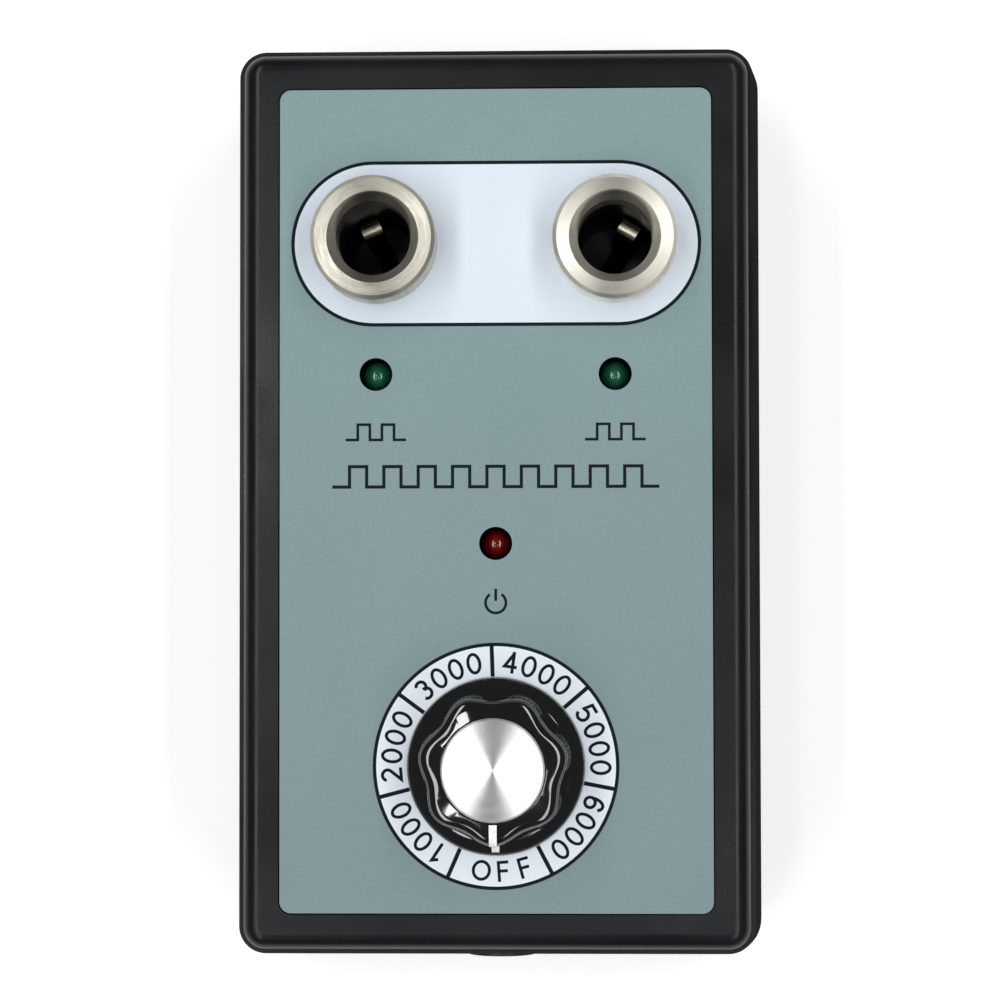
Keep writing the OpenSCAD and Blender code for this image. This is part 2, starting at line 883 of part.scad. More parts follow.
module left_coil_lead() {
    color([0.6, 0.1, 0.08])
        lead(left_coil_route, coil_lead_d, [1, 0, 0]);
}

module right_coil_lead() {
    color([0.6, 0.1, 0.08])
        lead(right_coil_route, coil_lead_d, [1, 0, 0]);
}

module earth_lead() {
    color([0.1, 0.1, 0.1])
        lead(earth_route, earth_lead_d, [1, 0, 0]);
}

module timer_chip() {
    pins = 4;
    pitch = 2.54;
    leg_w = 0.5;
    color([0.08, 0.08, 0.08])
        translate([chip_place[0], chip_place[1], board_back_z]) {
            translate([0, 0, -chip_standoff - chip[2] / 2])
                cube(chip, center = true);
            for (i = [0:pins - 1], side = [-1, 1])
                translate([(i - (pins - 1) / 2) * pitch, side * (chip[1] / 2 + leg_w / 2), 0])
                    translate([-leg_w / 2, -leg_w / 2, -chip_standoff - chip[2] / 2])
                        cube([leg_w, leg_w, chip_standoff + chip[2] / 2]);
        }
}

module drive_transistors() {
    pitch = 2.54;
    leg_w = 0.8;
    color([0.2, 0.2, 0.21])
        for (place = transistor_places)
            translate([place[0], place[1], board_back_z]) {
                translate([-transistor[0] / 2, 0, -transistor_leg - transistor[2]])
                    cube(transistor);
                translate([-transistor_tab[0] / 2, transistor[1] - transistor_tab[1],
                    -transistor_leg - transistor_tab[2]])
                    cube(transistor_tab);
                for (i = [-1:1])
                    translate([i * pitch - leg_w / 2, transistor[1] / 2 - leg_w / 2, -transistor_leg])
                        cube([leg_w, leg_w, transistor_leg]);
            }
}

module filter_capacitors() {
    color([0.12, 0.14, 0.3])
        for (place = capacitor_places)
            translate([place[0], place[1], board_back_z - capacitor_h])
                cylinder(d = capacitor_d, h = capacitor_h);
}

module resistors() {
    wire = 0.6;
    axis_z = board_back_z - resistor_lift - resistor_d / 2;
    color([0.75, 0.65, 0.45])
        for (place = resistor_places)
            translate([place[0], place[1], 0]) {
                translate([-resistor_l / 2, 0, axis_z])
                    rotate([0, 90, 0])
                        cylinder(d = resistor_d, h = resistor_l);
                for (side = [-1, 1])
                    translate([side * (resistor_l / 2 - wire), 0, axis_z])
                        cylinder(d = wire, h = board_back_z - axis_z);
            }
}

// Drawn can, open to the board, with a hole for the bush
module control_can() {
    color([0.72, 0.72, 0.7])
        translate([0, knob_y, board_z])
            difference() {
                cylinder(d = can_d, h = can_h);
                translate([0, 0, -cut])
                    cylinder(d = can_d - 2 * can_t, h = can_h - can_t + cut);
                cylinder(d = bush_d + 2 * seat_gap, h = can_h + cut);
            }
}

module control_bush() {
    low = plate_z - can_t;
    color([0.75, 0.72, 0.6])
        translate([0, knob_y, low])
            difference() {
                cylinder(d = bush_d, h = bush_z - low);
                translate([0, 0, -cut])
                    cylinder(d = shaft_d + 2 * running_gap, h = bush_z - low + 2 * cut);
            }
}

module bush_washer() {
    color([0.75, 0.75, 0.75])
        translate([0, knob_y, label_z])
            difference() {
                cylinder(d = bush_washer_d, h = bush_washer_t);
                translate([0, 0, -cut])
                    cylinder(d = bush_d + drop_gap, h = bush_washer_t + 2 * cut);
            }
}

module bush_nut() {
    color([0.75, 0.75, 0.75])
        translate([0, knob_y, label_z + bush_washer_t])
            hex_nut(bush_nut_af, bush_nut_h, bush_d + 2 * seat_gap);
}

module control_track() {
    color([0.35, 0.2, 0.12])
        translate([0, knob_y, board_z])
            cylinder(d = can_d - 2 * can_t - 2 * seat_gap, h = track_t);
}

module control_pins() {
    color([0.8, 0.8, 0.78])
        for (place = pin_places)
            translate([place[0] - pin_s / 2, knob_y + place[1] - pin_s / 2, board_back_z - lead_tail])
                cube([pin_s, pin_s, board_t + lead_tail]);
}

module control_shaft() {
    color([0.8, 0.8, 0.8])
        translate([0, knob_y, shaft_z])
            cylinder(d = shaft_d, h = insert_top_z - shaft_z);
}

// Carrier on the shaft with a finger that reaches down to the track
module control_wiper() {
    finger_z = board_z + track_t + finger_gap;
    color([0.85, 0.83, 0.78])
        translate([0, knob_y, 0])
            difference() {
                union() {
                    translate([0, 0, wiper_z])
                        cylinder(d = wiper_d, h = wiper_t);
                    translate([-finger_w / 2, -wiper_d / 2 + finger_w / 4, finger_z])
                        cube([finger_w, finger_w, wiper_z + wiper_t / 2 - finger_z]);
                }
                cylinder(d = shaft_d + 2 * seat_gap, h = case_h);
            }
}

// Half profile of the skirt, its slope running on into the grip
module skirt_profile() {
    neck_r = grip_d / 2 - 2 * lobe_depth;
    neck_z = skirt_edge_h + skirt_rise * (skirt_d / 2 - neck_r) / (skirt_d / 2 - grip_d / 2);
    polygon([[0, 0], [skirt_d / 2, 0], [skirt_d / 2, skirt_edge_h], [neck_r, neck_z], [0, neck_z]]);
}

// Half profile of the round grip: its top edge rounded, and a sloped crown up to the cap
module grip_profile() {
    round_at = grip_d / 2 - grip_edge_r;
    foot_z = skirt_edge_h / 2;
    translate([0, foot_z]) {
        square([grip_d / 2, grip_h - grip_edge_r - foot_z]);
        square([round_at, grip_h - foot_z]);
    }
    translate([round_at, grip_h - grip_edge_r])
        intersection() {
            circle(r = grip_edge_r);
            square(grip_edge_r);
        }
    polygon([[0, grip_h], [crown_out, grip_h], [crown_in, knob_h], [0, knob_h]]);
}

// Outside of the knob: a skirt that slopes up to a lobed grip with a rounded top edge
module knob_form() {
    translate([0, knob_y, knob_z]) {
        rotate_extrude()
            skirt_profile();
        difference() {
            rotate_extrude()
                grip_profile();
            for (i = [0:lobes - 1])
                rotate(270 + (i + 0.5) * 360 / lobes)
                    translate([grip_d / 2 - lobe_depth + hollow_r, 0, 0])
                        cylinder(r = hollow_r, h = knob_h + cut);
        }
    }
}

// Section that the pointer line fills, from the cap over the grip and down the skirt
module pointer_section() {
    polygon([
        [crown_in, knob_h - pointer_depth],
        [crown_out, grip_h - pointer_depth],
        [skirt_d, grip_h - pointer_depth],
        [skirt_d, knob_h + cut],
        [crown_in, knob_h + cut]
    ]);
    translate([grip_d / 2 - pointer_depth, skirt_edge_h - pointer_depth])
        square([skirt_d, knob_h]);
}

// Stands a section of the knob on the pointer's line and gives it the pointer's width
module on_pointer_line() {
    translate([0, knob_y, knob_z])
        rotate([90, 0, -90])
            linear_extrude(height = pointer_w, center = true)
                children();
}

module control_knob() {
    color([0.05, 0.05, 0.06])
        difference() {
            knob_form();
            on_pointer_line()
                pointer_section();
            translate([0, knob_y, knob_z - cut])
                cylinder(d = knob_well_d, h = knob_well_h + cut);
            translate([0, knob_y, knob_z])
                cylinder(d = insert_d + 2 * seat_gap, h = insert_top_z - knob_z);
            translate([0, knob_y, knob_top_z - cap_seat])
                cylinder(d = cap_d + 2 * seat_gap, h = cap_seat + cut);
            translate([0, knob_y, set_screw_z])
                rotate([0, 90, set_screw_dir])
                    cylinder(d = set_screw_d + drop_gap, h = skirt_d);
        }
}

module knob_cap() {
    color([0.85, 0.85, 0.86])
        translate([0, knob_y, knob_top_z - cap_seat]) {
            cylinder(d = cap_d, h = cap_t - cap_bevel);
            translate([0, 0, cap_t - cap_bevel])
                cylinder(d1 = cap_d, d2 = cap_d - 2 * cap_bevel, h = cap_bevel);
        }
}

module knob_pointer() {
    color([0.95, 0.95, 0.95])
        on_pointer_line()
            intersection() {
                union() {
                    skirt_profile();
                    grip_profile();
                }
                pointer_section();
            }
}

module knob_insert() {
    low = knob_z + knob_well_h;
    color([0.8, 0.65, 0.3])
        translate([0, knob_y, low])
            difference() {
                cylinder(d = insert_d, h = insert_top_z - low);
                translate([0, 0, -cut])
                    cylinder(d = shaft_d + 2 * seat_gap, h = insert_top_z - low + 2 * cut);
                translate([0, 0, set_screw_z - low])
                    rotate([0, 90, set_screw_dir])
                        cylinder(d = set_screw_d + 2 * seat_gap, h = insert_d);
            }
}

module knob_set_screw() {
    color([0.3, 0.3, 0.3])
        translate([0, knob_y, set_screw_z])
            rotate([0, 90, set_screw_dir])
                translate([0, 0, shaft_d / 2 + drop_gap])
                    cylinder(d = set_screw_d, h = set_screw_l);
}

// Flanged barrel of the power inlet, its mouth facing out of the end wall
module inlet_body() {
    color([0.07, 0.07, 0.07])
        translate([0, inlet_seat_y, inlet_z])
            rotate([-90, 0, 0])
                difference() {
                    union() {
                        translate([0, 0, -inlet_flange_t])
                            cylinder(d = inlet_flange_d, h = inlet_flange_t);
                        cylinder(d = inlet_d, h = inlet_back_y - inlet_seat_y);
                    }
                    translate([0, 0, -inlet_flange_t - cut])
                        cylinder(d = inlet_bore, h = inlet_depth + cut);
                }
}

module inlet_pin() {
    pin_back = 1.5;
    color([0.8, 0.8, 0.78])
        translate([0, inlet_back_y - inlet_back_t, inlet_z])
            rotate([90, 0, 0])
                cylinder(d = inlet_pin_d, h = inlet_depth - pin_back);
}

module inlet_nut() {
    color([0.75, 0.75, 0.75])
        translate([0, inlet_inner_y, inlet_z])
            rotate([-90, 0, 0])
                hex_nut(inlet_nut_af, inlet_nut_h, inlet_d + 2 * seat_gap);
}

module inlet_tags() {
    color([0.8, 0.78, 0.7])
        both_sides(tag_x)
            translate([-tag_w / 2, inlet_back_y, inlet_z - tag_t / 2])
                cube([tag_w, tag_l, tag_t]);
}

module supply_leads() {
    color([0.5, 0.08, 0.06])
        for (side = [0, 1])
            mirror([side, 0, 0])
                lead(supply_route, supply_lead_d, [1, 0, 0]);
}

module case_screws() {
    color([0.25, 0.25, 0.26])
        four_corners(screw_x, screw_y)
            translate([0, 0, screw_seat_z])
                pan_screw(screw_d, screw_l, screw_head_d, screw_head_h);
}

front_cover();
rear_cover();
face_label();
left_collar();
right_collar();
left_collar_nut();
right_collar_nut();
earth_strap();
left_socket_tube();
right_socket_tube();
left_contact_base();
right_contact_base();
left_contact_leaf();
right_contact_leaf();
left_signal_lamp();
right_signal_lamp();
power_lamp();
lamp_leads();
circuit_board();
board_screws();
left_spark_coil();
right_spark_coil();
left_coil_lead();
right_coil_lead();
earth_lead();
timer_chip();
drive_transistors();
filter_capacitors();
resistors();
control_can();
control_bush();
bush_washer();
bush_nut();
control_track();
control_pins();
control_shaft();
control_wiper();
control_knob();
knob_cap();
knob_pointer();
knob_insert();
knob_set_screw();
inlet_body();
inlet_pin();
inlet_nut();
inlet_tags();
supply_leads();
case_screws();
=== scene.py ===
"""Looks of a hand-held spark plug tester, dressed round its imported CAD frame."""

import logging
import math
from collections.abc import Callable, Iterable, Iterator, Sequence
from contextlib import contextmanager
from dataclasses import dataclass, field
from enum import Enum

import bmesh
import bpy
from mathutils import Matrix, Vector


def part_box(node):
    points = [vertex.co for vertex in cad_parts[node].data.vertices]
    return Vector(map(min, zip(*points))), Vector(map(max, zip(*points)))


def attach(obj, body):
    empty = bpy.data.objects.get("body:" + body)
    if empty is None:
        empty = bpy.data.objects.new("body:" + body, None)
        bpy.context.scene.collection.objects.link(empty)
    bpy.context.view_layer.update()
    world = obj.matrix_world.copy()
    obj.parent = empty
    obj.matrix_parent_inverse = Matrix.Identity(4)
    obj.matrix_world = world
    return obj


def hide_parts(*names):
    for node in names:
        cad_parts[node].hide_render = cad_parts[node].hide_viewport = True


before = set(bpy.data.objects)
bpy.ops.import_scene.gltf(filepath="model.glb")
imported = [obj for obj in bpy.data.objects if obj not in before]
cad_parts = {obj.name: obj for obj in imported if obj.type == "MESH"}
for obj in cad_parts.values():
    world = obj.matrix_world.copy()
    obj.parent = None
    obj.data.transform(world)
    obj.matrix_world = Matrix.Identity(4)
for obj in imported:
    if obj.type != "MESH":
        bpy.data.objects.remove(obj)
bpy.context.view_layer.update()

Node = bpy.types.Node
Socket = bpy.types.NodeSocket
Sockets = bpy.types.NodeOutputs
Tree = bpy.types.NodeTree
Material = bpy.types.Material
Piece = bpy.types.Object
Point2 = tuple[float, float]
Point3 = tuple[float, float, float]
Colour = tuple[float, float, float, float]

LOG = logging.getLogger("tester")
MM = 0.001
LABEL_Z = 39.9
INK_FOOT = 0.03
INK_RISE = 0.02
OVERPRINT = 0.004
POINT_MERGE = 1e-6
CORNER_MERGE = 2e-6
SLIVER = 1e-7
RING_STEPS = 128
OVAL_STEPS = 48
SOCKET_X = 18.8
SOCKET_Y = 40.5
KNOB_Y = -41.75
PATCH_SCALE = 0.02
MARK_RANGE: Point2 = (0.3, 0.7)
PATCH_RANGE: Point2 = (0.35, 0.65)
STREAK_RANGE: Point2 = (0.32, 0.62)
STREAK_TURNS = 2.6
STREAK_PITCH = 0.22
SPECK_REACH = 0.16
WHITE: Colour = (1.0, 1.0, 1.0, 1.0)
VECTOR = "NodeSocketVector"
FLOAT = "NodeSocketFloat"
INTEGER = "NodeSocketInt"
OBJECT = "NodeSocketObject"


class Body(Enum):
    """The bodies that carry the tester's pieces."""

    CASE = "case"
    KNOB = "knob"
    LEFT_CONTACT = "left_contact"
    RIGHT_CONTACT = "right_contact"


class Side(Enum):
    """Left or right of the middle line, seen from the front."""

    LEFT = -1
    RIGHT = 1


class TextWay(Enum):
    """Which way the tops of the dial's characters point."""

    OUTWARD = 0
    INWARD = 1


def srgb(red: int, green: int, blue: int) -> Colour:
    """Turns a screen colour into a linear one.

    Args:
        red: Red, 0 to 255.
        green: Green, 0 to 255.
        blue: Blue, 0 to 255.

    Returns:
        The linear colour with full alpha.
    """
    def linear(value: int) -> float:
        """One channel of the conversion."""
        part = value / 255
        return part / 12.92 if part <= 0.04045 else ((part + 0.055) / 1.055) ** 2.4

    return (linear(red), linear(green), linear(blue), 1.0)


def scaled(colour: Colour, factor: float) -> Colour:
    """Makes a colour lighter or darker by a factor."""
    return (colour[0] * factor, colour[1] * factor, colour[2] * factor, 1.0)


# Node tools


class NodeBench:
    """Adds and links nodes in one tree."""

    def __init__(self, tree: Tree) -> None:
        """Takes the tree that the nodes go into."""
        self.tree = tree

    def give(self, target: Socket, value: object) -> None:
        """Feeds an input from a socket, or sets it to a plain value.

        Args:
            target: The input.
            value: The socket or the value.
        """
        if isinstance(value, Socket):
            self.tree.links.new(value, target)
        else:
            target.default_value = value

    def add(self, kind: str, inputs: dict[str | int, object] | None = None, **settings: object) -> Node:
        """Adds a node.

        Args:
            kind: The node's type name.
            inputs: A socket or a value for each input, by name or number.
            **settings: Properties of the node itself.

        Returns:
            The new node.
        """
        node = self.tree.nodes.new(kind)
        for key, setting in settings.items():
            setattr(node, key, setting)
        for key, value in (inputs or {}).items():
            self.give(node.inputs[key], value)
        return node

    def math(self, operation: str, *terms: object) -> Socket:
        """Works a sum whose terms are sockets or numbers."""
        return self.add("ShaderNodeMath", dict(enumerate(terms)), operation=operation).outputs[0]

    def vector(self, operation: str, *terms: object) -> Socket:
        """Works a sum whose terms are vectors."""
        node = self.add("ShaderNodeVectorMath", dict(enumerate(terms)), operation=operation)
        return node.outputs["Value" if operation == "LENGTH" else "Vector"]

    def parts(self, vector: Socket) -> Sockets:
        """Splits a vector into its X, Y and Z."""
        return self.add("ShaderNodeSeparateXYZ", {0: vector}).outputs

    def noise(self, dimensions: str = "3D", **inputs: object) -> Socket:
        """Adds a noise with its inputs by name."""
        return self.add("ShaderNodeTexNoise", inputs, noise_dimensions=dimensions).outputs["Fac"]

    def mix(self, factor: object, first: object, second: object, blend: str = "MIX") -> Socket:
        """Mixes two colours, each a socket or a plain colour; the second shows at 1."""
        # Numbers tell the colour sockets apart, because several sockets of this node share a name.
        inputs = {0: factor, 6: first, 7: second}
        return self.add("ShaderNodeMix", inputs, data_type="RGBA", blend_type=blend).outputs[2]

    def tones(self, factor: Socket, colour: Colour, low: float, high: float) -> Socket:
        """Mixes two strengths of one colour."""
        return self.mix(factor, scaled(colour, low), scaled(colour, high))

    def span(self, value: Socket, low: float, high: float,
             to_low: float = 0.0, to_high: float = 1.0) -> Socket:
        """Maps a value from the range low to high onto another range, clamped."""
        inputs = {0: value, 1: low, 2: high, 3: to_low, 4: to_high}
        return self.add("ShaderNodeMapRange", inputs).outputs[0]

    def between(self, factor: Socket, low: float, high: float) -> Socket:
        """A number that goes from low to high as the factor goes from 0 to 1."""
        return self.span(factor, 0.0, 1.0, low, high)


def make_group(name: str, inputs: dict[str, str], outputs: dict[str, str],
               fill: Callable[[NodeBench, Sockets], dict[str, Socket]], kind: str = "ShaderNodeTree") -> Tree:
    """Builds a node group with named sockets.

    Args:
        name: Name of the group.
        inputs: Socket type by input name.
        outputs: Socket type by output name.
        fill: Puts the nodes into the group and returns a socket for each output.
        kind: Type of the tree.

    Returns:
        The finished tree.
    """
    tree = bpy.data.node_groups.new(name, kind)
    for way, sockets in (("INPUT", inputs), ("OUTPUT", outputs)):
        for socket, socket_type in sockets.items():
            tree.interface.new_socket(socket, in_out=way, socket_type=socket_type)
    bench = NodeBench(tree)
    bench.add("NodeGroupOutput", fill(bench, bench.add("NodeGroupInput").outputs))
    return tree


def fill_moulded_grain(bench: NodeBench, given: Sockets) -> dict[str, Socket]:
    """Fine moulded grain with broad, faint patches.

    Args:
        bench: The group's bench.
        given: The group's inputs.

    Returns:
        The grain's height and tone, and the patches.
    """
    vector, scale = given["Vector"], given["Scale"]
    fine = bench.noise(Vector=vector, Scale=scale, Detail=3.0, Roughness=0.6)
    wide = bench.math("MULTIPLY", scale, PATCH_SCALE)
    broad = bench.noise(Vector=vector, Scale=wide, Detail=2.0, Roughness=0.5)
    return {"Height": fine, "Tone": bench.span(fine, *MARK_RANGE),
            "Patches": bench.span(broad, *PATCH_RANGE)}


def fill_specks(bench: NodeBench, given: Sockets) -> dict[str, Socket]:
    """Scattered round specks of dust, each in its own cell.

    Args:
        bench: The group's bench.
        given: The group's inputs.

    Returns:
        The mask of the specks.
    """
    inputs = {"Vector": given["Vector"], "Scale": given["Scale"], "Randomness": 1.0}
    cells = bench.add("ShaderNodeTexVoronoi", inputs, feature="F1").outputs
    chance = bench.add("ShaderNodeSeparateColor", {0: cells["Color"]}).outputs
    chosen = bench.math("LESS_THAN", chance[0], given["Share"])
    inside = bench.math("LESS_THAN", cells["Distance"], bench.math("MULTIPLY", chance[1], SPECK_REACH))
    return {"Mask": bench.math("MULTIPLY", chosen, inside)}


def fill_turned_rings(bench: NodeBench, given: Sockets) -> dict[str, Socket]:
    """Fine concentric tool marks round the vector's Z axis, with longer streaks that fade along the turn.

    Args:
        bench: The group's bench.
        given: The group's inputs.

    Returns:
        The marks' height and tone, the radius and the streaks.
    """
    flat = bench.vector("MULTIPLY", given["Vector"], (1.0, 1.0, 0.0))
    radius = bench.vector("LENGTH", flat)
    turns = bench.math("DIVIDE", radius, given["Pitch"])
    marks = bench.noise("1D", W=turns, Scale=1.0, Detail=2.0, Roughness=0.7)
    heading = bench.parts(bench.vector("NORMALIZE", flat))
    along = bench.add("ShaderNodeCombineXYZ", {"X": bench.math("MULTIPLY", heading["X"], STREAK_TURNS),
                                               "Y": bench.math("MULTIPLY", heading["Y"], STREAK_TURNS),
                                               "Z": bench.math("MULTIPLY", turns, STREAK_PITCH)})
    streaks = bench.noise(Vector=along.outputs[0], Scale=1.0, Detail=3.0, Roughness=0.65)
    return {"Height": marks, "Tone": bench.span(marks, *MARK_RANGE), "Radius": radius,
            "Streaks": bench.span(streaks, *STREAK_RANGE)}


MOULDED_GRAIN = make_group("moulded_grain", {"Vector": VECTOR, "Scale": FLOAT},
                           {"Height": FLOAT, "Tone": FLOAT, "Patches": FLOAT}, fill_moulded_grain)
SPECKS = make_group("specks", {"Vector": VECTOR, "Scale": FLOAT, "Share": FLOAT},
                    {"Mask": FLOAT}, fill_specks)
TURNED_RINGS = make_group("turned_rings", {"Vector": VECTOR, "Pitch": FLOAT},
                          {"Height": FLOAT, "Tone": FLOAT, "Radius": FLOAT, "Streaks": FLOAT},
                          fill_turned_rings)


def make_tree(name: str, inputs: dict[str, str], fill: Callable[[NodeBench, Sockets], Socket]) -> Tree:
    """Builds a geometry tree that ends with real geometry in its material.

    Args:
        name: Name of the tree.
        inputs: Socket type of its own inputs, by name.
        fill: Puts the nodes into the tree and returns the geometry.

    Returns:
        The finished tree.
    """
    def fill_whole(bench: NodeBench, given: Sockets) -> dict[str, Socket]:
        """Puts the common end after the tree's own nodes.

        Args:
            bench: The tree's bench.
            given: The tree's inputs.

        Returns:
            The tree's one output.
        """
        real = bench.add("GeometryNodeRealizeInstances", {0: fill(bench, given)}).outputs[0]
        paint = bench.add("GeometryNodeSetMaterial", {"Geometry": real, "Material": given["Material"]})
        return {"Geometry": paint.outputs[0]}

    form = {"Geometry": "NodeSocketGeometry"}
    return make_group(name, {**form, **inputs, "Material": "NodeSocketMaterial"}, form, fill_whole,
                      "GeometryNodeTree")


def set_out(bench: NodeBench, item: Socket, points: Socket, turn: Socket) -> Socket:
    """Sets an object on each point of a geometry tree.

    Args:
        bench: The tree's bench.
        item: Socket of the object.
        points: Socket of the points.
        turn: Socket of the turn at each point.

    Returns:
        Socket of the instances.
    """
    form = bench.add("GeometryNodeObjectInfo", {"Object": item}).outputs["Geometry"]
    inputs = {"Points": points, "Instance": form, "Rotation": turn}
    return bench.add("GeometryNodeInstanceOnPoints", inputs).outputs[0]


class ShaderBench(NodeBench):
    """A material's tree with its shader, its output and object coordinates."""

    def __init__(self, name: str) -> None:
        """Makes a new material.

        Args:
            name: Name of the material.
        """
        self.material = bpy.data.materials.new(name)
        self.material.use_nodes = True
        super().__init__(self.material.node_tree)
        self.tree.nodes.clear()
        self.shader = self.add("ShaderNodeBsdfPrincipled")
        self.add("ShaderNodeOutputMaterial", {0: self.shader.outputs[0]})
        self.place = self.add("ShaderNodeTexCoord").outputs["Object"]

    def group(self, tree: Tree, vector: Socket, **values: float) -> Sockets:
        """Places a shared group that reads a vector, and hands over its outputs."""
        return self.add("ShaderNodeGroup", {"Vector": vector, **values}, node_tree=tree).outputs

    def grain(self, per_mm: float) -> Sockets:
        """Places the moulded grain, with that many grains to the millimetre."""
        return self.group(MOULDED_GRAIN, self.place, Scale=per_mm / MM)

    def along(self, axis: str, low: float, high: float) -> Socket:
        """Goes from 0 to 1 between two places on an axis, in millimetres."""
        return self.span(self.parts(self.place)[axis], low * MM, high * MM)

    def set(self, **values: object) -> None:
        """Feeds or sets the shader's inputs, by name with _ for a space."""
        for key, value in values.items():
            self.give(self.shader.inputs[key.replace("_", " ")], value)

    def bump(self, height: Socket, depth: float) -> None:
        """Gives the surface relief of a depth in millimetres."""
        node = self.add("ShaderNodeBump", {"Strength": 1.0, "Distance": depth * MM, "Height": height})
        self.set(Normal=node.outputs[0])

    def centred(self, x: float, y: float) -> Socket:
        """Object coordinates counted from an upright axis given in millimetres."""
        inputs = {"Vector": self.place, "Location": (-x * MM, -y * MM, 0.0)}
        return self.add("ShaderNodeMapping", inputs).outputs[0]


# Finishes


@dataclass(frozen=True)
class Finish:
    """A named finish with one main colour."""

    name: str
    colour: Colour

    def material(self) -> Material:
        """Builds the finish.

        Returns:
            A new material.
        """
        bench = ShaderBench(self.name)
        self.lay(bench)
        return bench.material

    def lay(self, bench: ShaderBench) -> None:
        """Puts the finish's own nodes and values into a material."""
        raise NotImplementedError


@dataclass(frozen=True)
class MouldedPlastic(Finish):
    """Moulded plastic with a fine grain and faint broad patches of gloss."""

    roughness: float = 0.5
    gloss: float = 0.5
    coat: float = 0.0
    grain_per_mm: float = 2.5
    grain_depth: float = 0.012
    dark: float = 0.85
    light: float = 1.2
    patchiness: float = 0.05
    coat_roughness: float = 0.03

    def lay(self, bench: ShaderBench) -> None:
        """Puts the plastic's nodes and values into a material.

        Args:
            bench: The material's bench.
        """
        grain = bench.grain(self.grain_per_mm)
        smooth, rough = self.roughness - self.patchiness, self.roughness + self.patchiness
        bench.set(Base_Color=bench.tones(grain["Tone"], self.colour, self.dark, self.light),
                  Roughness=bench.between(grain["Patches"], smooth, rough),
                  Specular_IOR_Level=self.gloss, Coat_Weight=self.coat, Coat_Roughness=self.coat_roughness)
        bench.bump(grain["Height"], self.grain_depth)


@dataclass(frozen=True)
class TurnedMetal(Finish):
    """Metal with tool marks round one axis, tarnished in streaks, with painted shade inside an offset circle.
    """

    centre: Point2
    roughness: float = 0.28
    pitch: float = 0.12
    mark_depth: float = 0.004
    spread: float = 0.8
    tarnish: float = 0.94
    soot: float = 1.0
    painted_shade_in: float = 0.0
    painted_shade_out: float = 1.0
    painted_shade_rise: float = 0.0
    mark_tone: float = 0.9
    streakiness: float = 0.04
    spread_turn: float = 0.25

    def lay(self, bench: ShaderBench) -> None:
        """Puts the metal's nodes and values into a material.

        Args:
            bench: The material's bench.
        """
        x, y = self.centre
        pitch = self.pitch * MM
        rings = bench.group(TURNED_RINGS, bench.centred(x, y), Pitch=pitch)
        # Painted shade: a second set of rings, measured from a centre set higher than the axis, marks the
        # circle that is painted darker.
        shade_rings = bench.group(TURNED_RINGS, bench.centred(x, y + self.painted_shade_rise), Pitch=pitch)
        marks = bench.tones(rings["Tone"], self.colour, self.mark_tone, 1.0)
        worn = bench.mix(rings["Streaks"], scaled(self.colour, self.tarnish), marks)
        # Painted shade darkens the colour inside that circle, standing in for the shade in the throat and the
        # top of the countersink.
        unshaded = bench.span(shade_rings["Radius"], self.painted_shade_in * MM, self.painted_shade_out * MM)
        rough, smooth = self.roughness + self.streakiness, self.roughness - self.streakiness
        tangent = bench.add("ShaderNodeTangent", direction_type="RADIAL", axis="Z")
        bench.set(Base_Color=bench.mix(unshaded, scaled(self.colour, self.soot), worn),
                  Roughness=bench.between(rings["Streaks"], rough, smooth), Metallic=1.0,
                  Anisotropic=self.spread, Anisotropic_Rotation=self.spread_turn,
                  Tangent=tangent.outputs[0])
        bench.bump(rings["Height"], self.mark_depth)


@dataclass(frozen=True)
class PlatedMetal(Finish):
    """Plain plated or tinned metal with a faint grain."""

    roughness: float = 0.3
    grain_per_mm: float = 4.0
    grain_depth: float = 0.003
    patch_tone: float = 0.88
    roughening: float = 0.12

    def lay(self, bench: ShaderBench) -> None:
        """Puts the metal's nodes and values into a material.

        Args:
            bench: The material's bench.
        """
        grain = bench.grain(self.grain_per_mm)
        bench.set(Base_Color=bench.tones(grain["Patches"], self.colour, self.patch_tone, 1.0), Metallic=1.0,
                  Roughness=bench.between(grain["Tone"], self.roughness, self.roughness + self.roughening))
        bench.bump(grain["Height"], self.grain_depth)


@dataclass(frozen=True)
class StripWithPaintedShade(Finish):
    """Plated strip, bright at its fold, with painted shade below: a dark, hardly metallic colour stands in
    for the shade deep in the bore.
    """

    painted_shade_colour: Colour
    painted_shade_z: float
    bright_z: float
    shaded_roughness: float = 0.7
    bright_roughness: float = 0.32
    shaded_metallic: float = 0.2
    grain_tone: float = 0.85
    grain_per_mm: float = 4.0
    grain_depth: float = 0.003

    def lay(self, bench: ShaderBench) -> None:
        """Puts the strip's nodes and values into a material.

        Args:
            bench: The material's bench.
        """
        grain = bench.grain(self.grain_per_mm)
        # Painted shade: below the fold the colour, roughness and metalness go over to a dark stand-in for the
        # shade deep in the bore.
        unshaded_share = bench.along("Z", self.painted_shade_z, self.bright_z)
        bright = bench.tones(grain["Tone"], self.colour, self.grain_tone, 1.0)
        bench.set(Base_Color=bench.mix(unshaded_share, self.painted_shade_colour, bright),
                  Roughness=bench.between(unshaded_share, self.shaded_roughness, self.bright_roughness),
                  Metallic=bench.between(unshaded_share, self.shaded_metallic, 1.0))
        bench.bump(grain["Height"], self.grain_depth)


